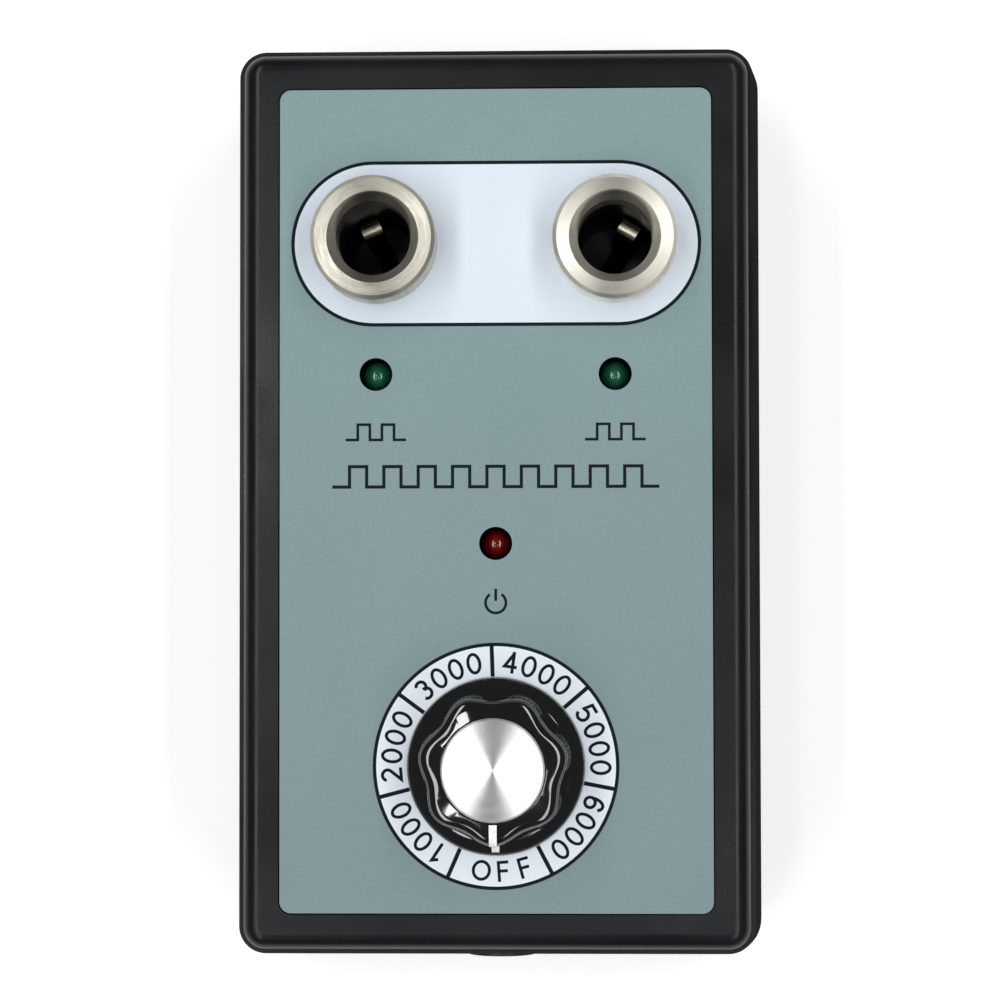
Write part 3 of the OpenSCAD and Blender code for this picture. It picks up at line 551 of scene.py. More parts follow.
@dataclass(frozen=True)
class TintedLens(Finish):
    """Clear tinted resin of a small lamp, deeper in colour towards its foot; the lighter colour at the top is
    painted light, standing in for the light round the dome's highlights.
    """

    painted_lit_top: Colour
    foot_z: float = 33.5
    top_z: float = 37.1
    roughness: float = 0.06
    bending: float = 1.5
    clearness: float = 0.25
    gloss: float = 0.5
    coat: float = 0.35
    coat_roughness: float = 0.02

    def lay(self, bench: ShaderBench) -> None:
        """Puts the resin's nodes and values into a material.

        Args:
            bench: The material's bench.
        """
        # Painted light: the colour lightens from the foot up to the top colour.
        height = bench.along("Z", self.foot_z, self.top_z)
        bench.set(Base_Color=bench.mix(height, self.colour, self.painted_lit_top), Roughness=self.roughness,
                  IOR=self.bending, Transmission_Weight=self.clearness, Specular_IOR_Level=self.gloss,
                  Coat_Weight=self.coat, Coat_Roughness=self.coat_roughness)


@dataclass(frozen=True)
class PrintInk(Finish):
    """Ink printed on the label, with a faint mottle."""

    roughness: float = 0.5
    gloss: float = 0.3
    grain_per_mm: float = 3.0
    grain_depth: float = 0.004
    grain_tone: float = 0.97
    roughening: float = 0.08

    def lay(self, bench: ShaderBench) -> None:
        """Puts the ink's nodes and values into a material.

        Args:
            bench: The material's bench.
        """
        grain = bench.grain(self.grain_per_mm)
        bench.set(Base_Color=bench.tones(grain["Tone"], self.colour, self.grain_tone, 1.0),
                  Roughness=bench.between(grain["Tone"], self.roughness, self.roughness + self.roughening),
                  Specular_IOR_Level=self.gloss)
        bench.bump(grain["Height"], self.grain_depth)


@dataclass(frozen=True)
class LabelFilm(Finish):
    """Matt printed film with fine speckle and faint broad patches; painted shade makes it a little darker
    towards the bottom.
    """

    patch: Colour = (0.96, 0.97, 0.97, 1.0)
    fade: Colour = (0.93, 0.87, 0.89, 1.0)
    bottom_shade_reach: float = 60.0
    dark: float = 0.94
    light: float = 1.05
    roughness: float = 0.55
    roughening: float = 0.1
    gloss: float = 0.3
    grain_per_mm: float = 2.2
    grain_depth: float = 0.008
    specks_per_mm: float = 1.1
    speck_share: float = 0.12
    speck_strength: float = 0.35
    speck_tone: float = 1.5

    def lay(self, bench: ShaderBench) -> None:
        """Puts the film's nodes and values into a material.

        Args:
            bench: The material's bench.
        """
        grain = bench.grain(self.grain_per_mm)
        specks = bench.group(SPECKS, bench.place, Scale=self.specks_per_mm / MM, Share=self.speck_share)
        fine = bench.tones(grain["Tone"], self.colour, self.dark, self.light)
        patchy = bench.mix(1.0, fine, bench.mix(grain["Patches"], self.patch, WHITE), "MULTIPLY")
        # Painted shade: the colour darkens from the top of the label to its bottom.
        upward = bench.along("Y", -self.bottom_shade_reach, self.bottom_shade_reach)
        with_painted_shade = bench.mix(1.0, patchy, bench.mix(upward, self.fade, WHITE), "MULTIPLY")
        dust = bench.math("MULTIPLY", specks["Mask"], self.speck_strength)
        bench.set(Base_Color=bench.mix(dust, with_painted_shade, scaled(self.colour, self.speck_tone)),
                  Roughness=bench.between(grain["Tone"], self.roughness, self.roughness + self.roughening),
                  Specular_IOR_Level=self.gloss)
        bench.bump(grain["Height"], self.grain_depth)


# Mesh tools


def add_object(name: str, data: bpy.types.ID) -> Piece:
    """Puts a mesh, a curve, a light or a camera into the scene.

    Args:
        name: Name of the new object.
        data: What it shows.

    Returns:
        The new object, at the origin.
    """
    piece = bpy.data.objects.new(name, data)
    bpy.context.scene.collection.objects.link(piece)
    return piece


def worked_mesh(piece: Piece) -> bpy.types.Mesh:
    """Plain mesh of a curve or of a piece with its modifiers worked in.

    Args:
        piece: The object as it stands in the scene.

    Returns:
        A new mesh.
    """
    bpy.context.view_layer.update()
    graph = bpy.context.evaluated_depsgraph_get()
    shown = piece.evaluated_get(graph)
    return bpy.data.meshes.new_from_object(shown, preserve_all_data_layers=True, depsgraph=graph)


def settle(piece: Piece) -> Piece:
    """Turns a piece with modifiers into a plain mesh.

    Args:
        piece: The piece, modifiers included.

    Returns:
        The same piece with its modifiers worked in.
    """
    mesh = worked_mesh(piece)
    piece.modifiers.clear()
    piece.data = mesh
    return piece


def soften(piece: Piece, sharp_deg: float = 35.0) -> Piece:
    """Shades a piece smooth, with flat faces kept flat and sharp edges kept sharp.

    Args:
        piece: The piece to shade.
        sharp_deg: Edges bent more than this stay sharp.

    Returns:
        The same piece.
    """
    piece.data.shade_smooth()
    piece.data.set_sharp_from_angle(angle=math.radians(sharp_deg))
    weigh = piece.modifiers.new("weigh", "WEIGHTED_NORMAL")
    weigh.keep_sharp = True
    weigh.weight = 100
    return settle(piece)


@contextmanager
def editing(mesh: bpy.types.Mesh) -> Iterator[bmesh.types.BMesh]:
    """Opens a mesh for editing and writes it back at the end.

    Args:
        mesh: The mesh.

    Yields:
        Its editable form.
    """
    form = bmesh.new()
    form.from_mesh(mesh)
    yield form
    form.to_mesh(mesh)
    form.free()


def mesh_piece(name: str, points: Sequence[Sequence[float]], faces: Sequence[Sequence[int]]) -> Piece:
    """Makes a piece from points in millimetres.

    Args:
        name: Name of the piece.
        points: Its points.
        faces: Its faces, as numbers of points.

    Returns:
        The new piece, with doubles merged and faces pointing outwards.
    """
    mesh = bpy.data.meshes.new(name)
    mesh.from_pydata([Vector(p) * MM for p in points], [], faces)
    with editing(mesh) as form:
        bmesh.ops.remove_doubles(form, verts=form.verts, dist=POINT_MERGE)
        bmesh.ops.recalc_face_normals(form, faces=form.faces)
    return add_object(name, mesh)


def box_piece(name: str, low: Point3, high: Point3) -> Piece:
    """Makes a plain box to cut with.

    Args:
        name: Name of the box.
        low: Its lowest corner.
        high: Its highest corner.

    Returns:
        The new box.
    """
    ends = (low, high)
    points = [(ends[i & 1][0], ends[i >> 1 & 1][1], ends[i >> 2][2]) for i in range(8)]
    sides = ((0, 2, 3, 1), (4, 5, 7, 6), (0, 1, 5, 4), (2, 6, 7, 3), (0, 4, 6, 2), (1, 3, 7, 5))
    return mesh_piece(name, points, sides)


def lathe(name: str, profile: Sequence[Point2], steps: int, centre: Point2 = (0, 0)) -> Piece:
    """Turns a half profile round an upright axis into a closed form.

    Args:
        name: Name of the piece.
        profile: Radius and height of each point, in millimetres.
        steps: Number of faces round.
        centre: Place of the axis.

    Returns:
        The new piece.
    """
    points, faces = [], []
    for i in range(steps):
        turn = math.tau * i / steps
        points += [(centre[0] + r * math.cos(turn), centre[1] + r * math.sin(turn), z) for r, z in profile]
    rows = len(profile)
    for i in range(steps):
        here, there = i * rows, (i + 1) % steps * rows
        faces += [(here + k, there + k, there + k + 1, here + k + 1) for k in range(rows - 1)]
    piece = mesh_piece(name, points, faces)
    with editing(piece.data) as form:
        bmesh.ops.dissolve_degenerate(form, edges=form.edges, dist=SLIVER)
        bmesh.ops.recalc_face_normals(form, faces=form.faces)
    return piece


def solid_copy(node: str, name: str, sharp_deg: float = 35.0) -> Piece:
    """Copies a CAD node's form with its corners joined and its curves smooth.

    Args:
        node: Name of the CAD node.
        name: Name of the new piece.
        sharp_deg: Edges bent more than this stay sharp.

    Returns:
        The new piece, standing for the node.
    """
    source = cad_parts[node].data
    mesh = bpy.data.meshes.new(name)
    mesh.from_pydata([v.co for v in source.vertices], [], [tuple(p.vertices) for p in source.polygons])
    with editing(mesh) as form:
        bmesh.ops.remove_doubles(form, verts=form.verts, dist=CORNER_MERGE)
    piece = soften(add_object(name, mesh), sharp_deg)
    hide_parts(node)
    return piece


def join(name: str, parts: Sequence[Piece]) -> Piece:
    """Joins pieces into one mesh.

    Args:
        name: Name of the joined piece.
        parts: The pieces, which are removed.

    Returns:
        The joined piece.
    """
    form = bmesh.new()
    for part in parts:
        form.from_mesh(part.data)
        bpy.data.objects.remove(part)
    mesh = bpy.data.meshes.new(name)
    form.to_mesh(mesh)
    form.free()
    return add_object(name, mesh)


def run_tree(name: str, tree: Tree, values: dict[str, object], start: Piece | None = None) -> Piece:
    """Runs a geometry tree and keeps its result as a plain mesh.

    Args:
        name: Name of the piece.
        tree: The geometry tree.
        values: Its inputs by name.
        start: A piece whose mesh goes in, or none.

    Returns:
        The finished piece.
    """
    piece = start or add_object(name, bpy.data.meshes.new(name))
    work = piece.modifiers.new("work", "NODES")
    work.node_group = tree
    names = {item.name: item.identifier for item in tree.interface.items_tree if item.in_out == "INPUT"}
    for key, value in values.items():
        work[names[key]] = value
    return settle(piece)


def dress(piece: Piece, material: Material, body: Body, slot: str) -> Piece:
    """Gives a new piece its material and the body it moves with.

    Args:
        piece: The finished piece.
        material: Its material.
        body: The body that carries it.
        slot: Name of a material slot; not used.

    Returns:
        The same piece.
    """
    piece.data.materials.clear()
    piece.data.materials.append(material)
    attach(piece, body.value)
    LOG.info("%s rides on %s", piece.name, body.value)
    return piece


def paint_node(node: str, material: Material) -> None:
    """Gives a CAD node that stays a better material.

    Args:
        node: Name of the CAD node.
        material: Its new material.
    """
    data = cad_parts[node].data
    data.materials.clear()
    data.materials.append(material)
    LOG.info("%s keeps its solid", node)


# Outlines and print


def flat_print(name: str, loops: Iterable[Sequence[Point2]], lift: float = 0.0) -> Piece:
    """Makes a thin printed shape on the label from closed outlines; an outline inside another is a hole.

    Args:
        name: Name of the piece.
        loops: The outlines, in millimetres.
        lift: Extra height above the first layer of ink, in millimetres.

    Returns:
        The new piece.
    """
    curve = bpy.data.curves.new(name, "CURVE")
    curve.dimensions = "2D"
    curve.fill_mode = "BOTH"
    curve.extrude = (INK_FOOT + INK_RISE) / 2 * MM
    for loop in loops:
        spline = curve.splines.new("POLY")
        spline.points.add(len(loop) - 1)
        for point, (x, y) in zip(spline.points, loop):
            point.co = (x * MM, y * MM, 0, 1)
        spline.use_cyclic_u = True
    holder = add_object(name + "_curve", curve)
    mesh = worked_mesh(holder)
    bpy.data.objects.remove(holder)
    bpy.data.curves.remove(curve)
    mesh.transform(Matrix.Translation((0, 0, (LABEL_Z + lift + (INK_RISE - INK_FOOT) / 2) * MM)))
    mesh.name = name
    return add_object(name, mesh)


def arc(centre: Point2, radius: float, start: float, end: float, steps: int = 24) -> list[Point2]:
    """Points along an arc, in degrees from +X, both ends included."""
    turns = [math.radians(start + (end - start) * i / steps) for i in range(steps + 1)]
    return [(centre[0] + radius * math.cos(t), centre[1] + radius * math.sin(t)) for t in turns]


def oval_arc(centre: Point2, reach: Point2, start: float, end: float, steps: int = 24) -> list[Point2]:
    """Points along part of an oval, in degrees from +X, both ends included."""
    unit = arc((0, 0), 1, start, end, steps)
    return [(centre[0] + x * reach[0], centre[1] + y * reach[1]) for x, y in unit]


def oval(centre: Point2, reach_x: float, reach_y: float) -> list[Point2]:
    """Points round a whole oval."""
    return oval_arc(centre, (reach_x, reach_y), 0, 360, OVAL_STEPS)[:-1]


def ring(centre: Point2, radius: float) -> list[Point2]:
    """Points round a whole circle."""
    return arc(centre, radius, 0, 360, RING_STEPS)[:-1]


def pill(centre: Point2, width: float, height: float) -> list[Point2]:
    """Outline with full round ends."""
    reach = (width - height) / 2
    return (arc((centre[0] + reach, centre[1]), height / 2, -90, 90, OVAL_STEPS)
            + arc((centre[0] - reach, centre[1]), height / 2, 90, 270, OVAL_STEPS))


def stroke(path: Sequence[Point2], width: float) -> list[Point2]:
    """Outline of a line of even width along a path, with mitred corners.

    Args:
        path: Points of the line.
        width: Width of the line.

    Returns:
        The closed outline.
    """
    sharpest = 0.3
    points = [Vector(p) for p in path]
    left, right = [], []
    for i, point in enumerate(points):
        before = (point - points[i - 1]).normalized() if i else (points[1] - point).normalized()
        after = (points[i + 1] - point).normalized() if i + 1 < len(points) else before
        normal = (Vector((-before.y, before.x)) + Vector((-after.y, after.x))).normalized()
        reach = width / 2 / max(sharpest, normal.dot(Vector((-after.y, after.x))))
        left.append(tuple(point + normal * reach))
        right.append(tuple(point - normal * reach))
    return left + right[::-1]


# Sub-assemblies, with sizes in millimetres and turns in degrees


@dataclass
class CaseShells:
    """The two moulded halves of the box and the screws that hold them."""

    seat_z: float = 16.5
    head_d: float = 5.4
    head_h: float = 2.0
    head_round: float = 0.9
    round_in: float = 0.3
    round_up: float = 0.35
    shank_r: float = 1.5
    shank_l: float = 12.0
    tip_r: float = 1.0
    tip_l: float = 13.4
    screw_l: float = 14.0
    cross_w: float = 0.9
    cross_l: float = 3.2
    cross_depth: float = 1.2
    cross_over: float = 1.0
    screw_steps: int = 32
    turn_seed: int = 7
    shoulder_z: float = 36.9
    recess_z: float = 39.5
    reach_z: float = 0.1
    level: float = 0.99
    rim: MouldedPlastic = MouldedPlastic("rim_plastic", srgb(18, 20, 23), roughness=0.29, gloss=0.24)
    # Painted sheen: the side walls are the rim's black plastic, given a paler base colour with no gloss; the
    # paler colour stands in for their glossy reflection.
    wall: MouldedPlastic = MouldedPlastic("wall_plastic", srgb(46, 47, 49), roughness=0.7, gloss=0.0)
    # Painted shade: a near-black colour for the recess floor in the gap round the label, standing in for the
    # shadow there.
    painted_gap_shade: MouldedPlastic = MouldedPlastic("groove_plastic", srgb(5, 7, 8), roughness=0.8, gloss=0.0)
    zinc: PlatedMetal = PlatedMetal("screw_zinc", srgb(170, 172, 176), 0.3)

    def build(self) -> None:
        """Builds and dresses the shells and the screws."""
        # The rear shell and the front shell's side walls share the paler colour of the painted sheen.
        matt_painted_sheen = self.wall.material()
        dress(solid_copy("rear_cover", "rear_shell"), matt_painted_sheen, Body.CASE, "case_plastic")
        front = solid_copy("front_cover", "front_shell")
        dress(front, self.rim.material(), Body.CASE, "case_plastic")
        front.data.materials.append(matt_painted_sheen)
        front.data.materials.append(self.painted_gap_shade.material())
        wall_slot, gap_shade_slot = 1, 2
        for face in front.data.polygons:
            height = face.center.z / MM
            if height < self.shoulder_z - self.reach_z:
                face.material_index = wall_slot
            # Recess floor faces in the gap round the label get the painted shade.
            elif face.normal.z > self.level and abs(height - self.recess_z) < self.reach_z:
                face.material_index = gap_shade_slot
        zinc = self.zinc.material()
        dress(self.screws(zinc), zinc, Body.CASE, "screw_steel")

    def screw(self) -> Piece:
        """Makes one screw head down, with its shank and a crossed recess.

        Returns:
            The screw, at the origin.
        """
        low, edge = -self.head_h, self.head_d / 2
        head = [(0, low), (edge - self.head_round, low), (edge - self.round_in, low + self.round_up),
                (edge, low + self.head_round), (edge, 0)]
        shank = [(self.shank_r, 0), (self.shank_r, self.shank_l), (self.tip_r, self.tip_l), (0, self.screw_l)]
        piece = lathe("case_screw", head + shank, self.screw_steps)
        reach, half = self.cross_l / 2, self.cross_w / 2
        tools = [box_piece("cross", (-x, -y, low - self.cross_over), (x, y, low + self.cross_depth))
                 for x, y in ((reach, half), (half, reach))]
        for tool in tools:
            cut = piece.modifiers.new("cut", "BOOLEAN")
            cut.operation = "DIFFERENCE"
            cut.object = tool
        settle(piece)
        for tool in tools:
            bpy.data.objects.remove(tool)
        return piece

    def screws(self, zinc: Material) -> Piece:
        """Sets the four screws in their wells with a node tree.

        Args:
            zinc: Their material.

        Returns:
            The four screws as one piece.
        """
        def fill(bench: NodeBench, given: Sockets) -> Socket:
            """Sets one screw on each corner of a grid, each at its own turn.

            Args:
                bench: The tree's bench.
                given: The tree's inputs.

            Returns:
                The instances.
            """
            corners = {"Size X": given["Spacing X"], "Size Y": given["Spacing Y"],
                       "Vertices X": 2, "Vertices Y": 2}
            grid = bench.add("GeometryNodeMeshGrid", corners).outputs["Mesh"]
            rise = bench.add("ShaderNodeCombineXYZ", {"Z": given["Seat"]}).outputs[0]
            place = bench.add("GeometryNodeTransform", {"Geometry": grid, "Translation": rise}).outputs[0]
            turns = {0: (0, 0, 0), 1: (0, 0, math.tau), "Seed": self.turn_seed}
            turn = bench.add("FunctionNodeRandomValue", turns, data_type="FLOAT_VECTOR")
            return set_out(bench, given["Screw"], place, turn.outputs[0])

        inputs = {"Screw": OBJECT, "Spacing X": FLOAT, "Spacing Y": FLOAT, "Seat": FLOAT}
        tree = make_tree("screw_set", inputs, fill)
        screw = self.screw()
        low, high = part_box("case_screws")
        head = self.head_d * MM
        piece = run_tree("case_screw_set", tree, {
            "Screw": screw, "Spacing X": high[0] - low[0] - head, "Spacing Y": high[1] - low[1] - head,
            "Seat": self.seat_z * MM, "Material": zinc})
        bpy.data.objects.remove(screw)
        soften(piece, sharp_deg=30)
        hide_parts("case_screws")
        return piece


@dataclass
class FaceLabel:
    """The printed film on the front: socket field, speed dial and plain signs."""

    field_middle: Point2 = (0.1, 40.3)
    field_w: float = 64.5
    field_h: float = 26.1
    outline_w: float = 0.55
    collar_r: float = 9.6
    dial_middle: Point2 = (0.0, KNOB_Y)
    dial_r: float = 19.3
    band_in: float = 13.95
    words: tuple[str, ...] = ("4000", "5000", "6000", "OFF", "1000", "2000", "3000")
    digit_r: float = 16.38
    digit_h: float = 3.42
    digit_step: float = 10.4
    letter_h: float = 3.25
    letter_step: float = 11.9
    letter_turn: float = -1.8
    stroke_w: float = 0.146
    first_divider: float = -2.0
    divider_w: float = 0.64
    divider_gap: float = 0.05
    lamp_sign_y: float = 10.6
    lamp_pulses: int = 2
    lamp_pulse_w: float = 1.9
    lamp_pulse_h: float = 2.4
    row_y: float = 3.6
    row_w: float = 0.5
    row_pulses: int = 9
    row_pulse_w: float = 2.7
    row_pulse_h: float = 3.2
    power_sign_y: float = -16.2
    power_r: float = 1.6
    power_gap: float = 35.0
    power_steps: int = 40
    power_stem: Point2 = (0.3, 2.2)
    sign_w: float = 0.42
    film: LabelFilm = LabelFilm("label_film", srgb(131, 156, 158))
    white: PrintInk = PrintInk("print_white", srgb(221, 232, 243))
    dial_white: PrintInk = PrintInk("dial_white", srgb(232, 240, 248))
    black: PrintInk = PrintInk("print_black", srgb(20, 28, 32), gloss=0.06)

    def build(self) -> None:
        """Builds and dresses the film and its print."""
        paint_node("face_label", self.film.material())
        black = self.black.material()
        holes = [ring((side.value * SOCKET_X, SOCKET_Y), self.collar_r) for side in Side]
        outer = pill(self.field_middle, self.field_w, self.field_h)
        inner = pill(self.field_middle, self.field_w - 2 * self.outline_w, self.field_h - 2 * self.outline_w)
        rim = ring(self.dial_middle, self.dial_r - self.outline_w)
        pale = [(flat_print("socket_field", [inner, *holes]), self.white),
                (flat_print("dial_band", [rim, ring(self.dial_middle, self.band_in)]), self.dial_white)]
        dark = [flat_print("socket_outline", [outer, inner]),
                flat_print("dial_outline", [ring(self.dial_middle, self.dial_r), rim])]
        for piece, ink in pale:
            dress(piece, ink.material(), Body.CASE, "label_film")
        for piece in (*dark, self.dividers(black), self.figures(), self.signs()):
            dress(piece, black, Body.CASE, "label_film")

    def dividers(self, black: Material) -> Piece:
        """Repeats one divider round the dial with a node tree.

        Args:
            black: Their material.

        Returns:
            The dividers as one piece.
        """
        def fill(bench: NodeBench, given: Sockets) -> Socket:
            """Sets one bar at each equal turn round the dial's axis.

            Args:
                bench: The tree's bench.
                given: The tree's inputs.

            Returns:
                The instances.
            """
            line = bench.add("GeometryNodeMeshLine", {"Count": given["Count"], "Offset": (0, 0, 0)})
            place = bench.add("GeometryNodeTransform", {"Geometry": line.outputs[0],
                                                        "Translation": given["Centre"]})
            number = bench.add("GeometryNodeInputIndex").outputs[0]
            step = bench.math("DIVIDE", -math.tau, given["Count"])
            turn = bench.math("SUBTRACT", bench.math("MULTIPLY", number, step), given["First"])
            way = bench.add("ShaderNodeCombineXYZ", {"Z": turn})
            return set_out(bench, given["Bar"], place.outputs[0], way.outputs[0])

        inputs = {"Bar": OBJECT, "Count": INTEGER, "First": FLOAT, "Centre": VECTOR}
        tree = make_tree("dial_dividers", inputs, fill)
        low = self.band_in + self.divider_gap
        high = self.dial_r - self.outline_w / 2
        half = self.divider_w / 2
        bar = flat_print("divider", [[(-half, low), (half, low), (half, high), (-half, high)]], INK_RISE)
        piece = run_tree("dial_divider_set", tree, {
            "Bar": bar, "Count": len(self.words), "First": math.radians(self.first_divider),
            "Centre": Vector((*self.dial_middle, 0)) * MM, "Material": black})
        bpy.data.objects.remove(bar)
        return piece

    def figures(self) -> Piece:
        """Sets the dial's numbers and its OFF, one character at a time.

        Returns:
            All the characters as one piece.
        """
        sector = 360 / len(self.words)
        under: list[list[Point2]] = []
        over: list[list[Point2]] = []
        for number, word in enumerate(self.words):
            middle = self.first_divider + (number + 0.5) * sector
            way = TextWay.INWARD if word == "OFF" else TextWay.OUTWARD
            step = self.digit_step
            if way is TextWay.INWARD:
                middle += self.letter_turn
                step = -self.letter_step
            for i, letter in enumerate(word):
                clock = middle + (i - (len(word) - 1) / 2) * step
                first, *rest = self.figure_shapes(letter)
                under += [self.on_dial(loop, clock, way) for loop in first]
                over += [self.on_dial(loop, clock, way) for shape in rest for loop in shape]
        return join("dial_figures", [flat_print("figures_under", under, INK_RISE),
                                     flat_print("figures_over", over, INK_RISE + OVERPRINT)])

    def figure_shapes(self, letter: str) -> list[list[list[Point2]]]:
        """Draws one character of the dial, one unit tall and centred.

        Args:
            letter: The character.

        Returns:
            Its shapes, each a list of closed outlines.
        """
        width = self.stroke_w
        half = width / 2
        low, high = half - 0.5, 0.5 - half
        if letter in "0O":
            reach = 0.34 if letter == "0" else 0.46
            return [[oval((0, 0), reach, 0.5), oval((0, 0), reach - width, 0.5 - width)]]
        paths = {
            "1": [[(-0.17, 0.22), (0.07, high - 0.02), (0.07, -0.5)]],
            "2": [arc((0, 0.185), 0.24, 165, -38) + [(-0.24, low), (0.31, low)]],
            "3": [arc((-0.01, 0.2), 0.225, 150, -85), arc((-0.01, -0.19), 0.235, 95, -150)],
            "4": [[(0.12, 0.5), (0.12, -0.5)], [(0.13, 0.42), (-0.25, -0.2), (0.31, -0.2)]],
            "5": [[(0.25, high), (-0.16, high), (-0.22, 0.02)] + arc((-0.01, -0.17), 0.255, 128, -155)],
            "6": [oval_arc((0.02, 0), (0.26, high), 35, 200)],
            "F": [[(-0.2, -0.5), (-0.2, high), (0.28, high)], [(-0.2, 0.01), (0.23, 0.01)]],
        }[letter]
        shapes = [[stroke(path, width)] for path in paths]
        if letter == "6":
            shapes.append([oval((0, -0.19), 0.31, 0.31), oval((0, -0.19), 0.31 - width, 0.31 - width)])
        return shapes

    def on_dial(self, loop: Sequence[Point2], clock_deg: float, way: TextWay) -> list[Point2]:
        """Moves a character's outline to its place on the dial.

        Args:
            loop: The outline, one unit tall and centred.
            clock_deg: Its place, clockwise from the top.
            way: Which way its top points.

        Returns:
            The outline in millimetres.
        """
        turn = Matrix.Rotation(math.radians(-clock_deg), 2)
        size = -self.letter_h if way is TextWay.INWARD else self.digit_h
        middle = Vector((0, self.digit_r))
        placed = [turn @ (middle + Vector(point) * size) for point in loop]
        return [(self.dial_middle[0] + point.x, self.dial_middle[1] + point.y) for point in placed]

    def signs(self) -> Piece:
        """Draws a pulse sign under each signal lamp, a power sign under the red one and a row of pulses.

        Returns:
            All the signs as one piece.
        """
        loops = []
        for side in Side:
            middle = (side.value * SOCKET_X, self.lamp_sign_y)
            path = self.pulses(middle, self.lamp_pulses, self.lamp_pulse_w, self.lamp_pulse_h)
            loops.append(stroke(path, self.sign_w))
        row = self.pulses((0, self.row_y), self.row_pulses, self.row_pulse_w, self.row_pulse_h)
        start, end = 90 + self.power_gap, 450 - self.power_gap
        round_part = arc((0, self.power_sign_y), self.power_r, start, end, self.power_steps)
        stem = [(0, self.power_sign_y + rise) for rise in self.power_stem]
        loops += [stroke(row, self.row_w), stroke(round_part, self.sign_w), stroke(stem, self.sign_w)]
        return join("plain_signs", [flat_print("sign", [loop]) for loop in loops])

    @staticmethod
    def pulses(centre: Point2, count: int, width: float, height: float) -> list[Point2]:
        """Path of a row of square pulses.

        Args:
            centre: Middle of the row.
            count: Number of pulses.
            width: Width of a pulse, and of the gap after it.
            height: Height of a pulse.

        Returns:
            The path's points.
        """
        left = centre[0] - (2 * count + 1) * width / 2
        low = centre[1] - height / 2
        high = low + height
        path = [(left, low)]
        for i in range(count):
            rise = left + (2 * i + 1) * width
            path += [(rise, low), (rise, high), (rise + width, high), (rise + width, low)]
        return path + [(left + (2 * count + 1) * width, low)]


@dataclass
class TestSockets:
    """Nickel collars, insulating tubes and folded contacts."""

    dull_nickel: Colour = srgb(206, 202, 189)
    bright_nickel: Colour = srgb(248, 243, 230)
    roughness: float = 0.34
    spread: float = 0.78
    dull_tarnish: float = 0.66
    bright_tarnish: float = 0.76
    # Painted shade for the throat and the top of the countersink: colour factor, the circle's inner and outer
    # radius, and how far its centre sits above the socket's axis.
    soot: float = 0.25
    painted_shade_in: float = 5.6
    painted_shade_out: float = 6.1
    painted_shade_rise: float = 1.3
    insulator: MouldedPlastic = MouldedPlastic("socket_insulator", srgb(20, 21, 24), roughness=0.34)
    strip: StripWithPaintedShade = StripWithPaintedShade("contact_strip", srgb(252, 244, 222), painted_shade_colour=srgb(16, 15, 14),
                                 painted_shade_z=24.95, bright_z=25.25)

    def build(self) -> None:
        """Builds and dresses both sockets."""
        insulator = self.insulator.material()
        strip = self.strip.material()
        for side, body, nickel, tarnish in (
                (Side.LEFT, Body.LEFT_CONTACT, self.dull_nickel, self.dull_tarnish),
                (Side.RIGHT, Body.RIGHT_CONTACT, self.bright_nickel, self.bright_tarnish)):
            name = side.name.lower()
            turned = TurnedMetal(name + "_collar_nickel", nickel, (side.value * SOCKET_X, SOCKET_Y),
                                 roughness=self.roughness, spread=self.spread, tarnish=tarnish,
                                 soot=self.soot, painted_shade_in=self.painted_shade_in, painted_shade_out=self.painted_shade_out,
                                 painted_shade_rise=self.painted_shade_rise)
            collar = solid_copy(name + "_collar", name + "_collar_ring", sharp_deg=25)
            dress(collar, turned.material(), Body.CASE, "nickel")
            dress(solid_copy(name + "_socket_tube", name + "_tube"), insulator, Body.CASE, "insulator")
            for node, piece, carrier in (("_contact_base", "_contact_fold", Body.CASE),
                                         ("_contact_leaf", "_contact_spring", body)):
                dress(solid_copy(name + node, name + piece), strip, carrier, "contact_strip")


@dataclass
class Lamps:
    """Two signal lamps and one power lamp."""

    green: TintedLens = TintedLens("signal_lens", srgb(13, 62, 41), srgb(34, 112, 78))
    red: TintedLens = TintedLens("power_lens", srgb(72, 5, 4), srgb(126, 18, 14))

    def build(self) -> None:
        """Builds and dresses the lamps."""
        green = self.green.material()
        red = self.red.material()
        for node, material, slot in (("left_signal_lamp", green, "green_lens"),
                                     ("right_signal_lamp", green, "green_lens"),
                                     ("power_lamp", red, "red_lens")):
            dress(solid_copy(node, node + "_lens"), material, Body.CASE, slot)


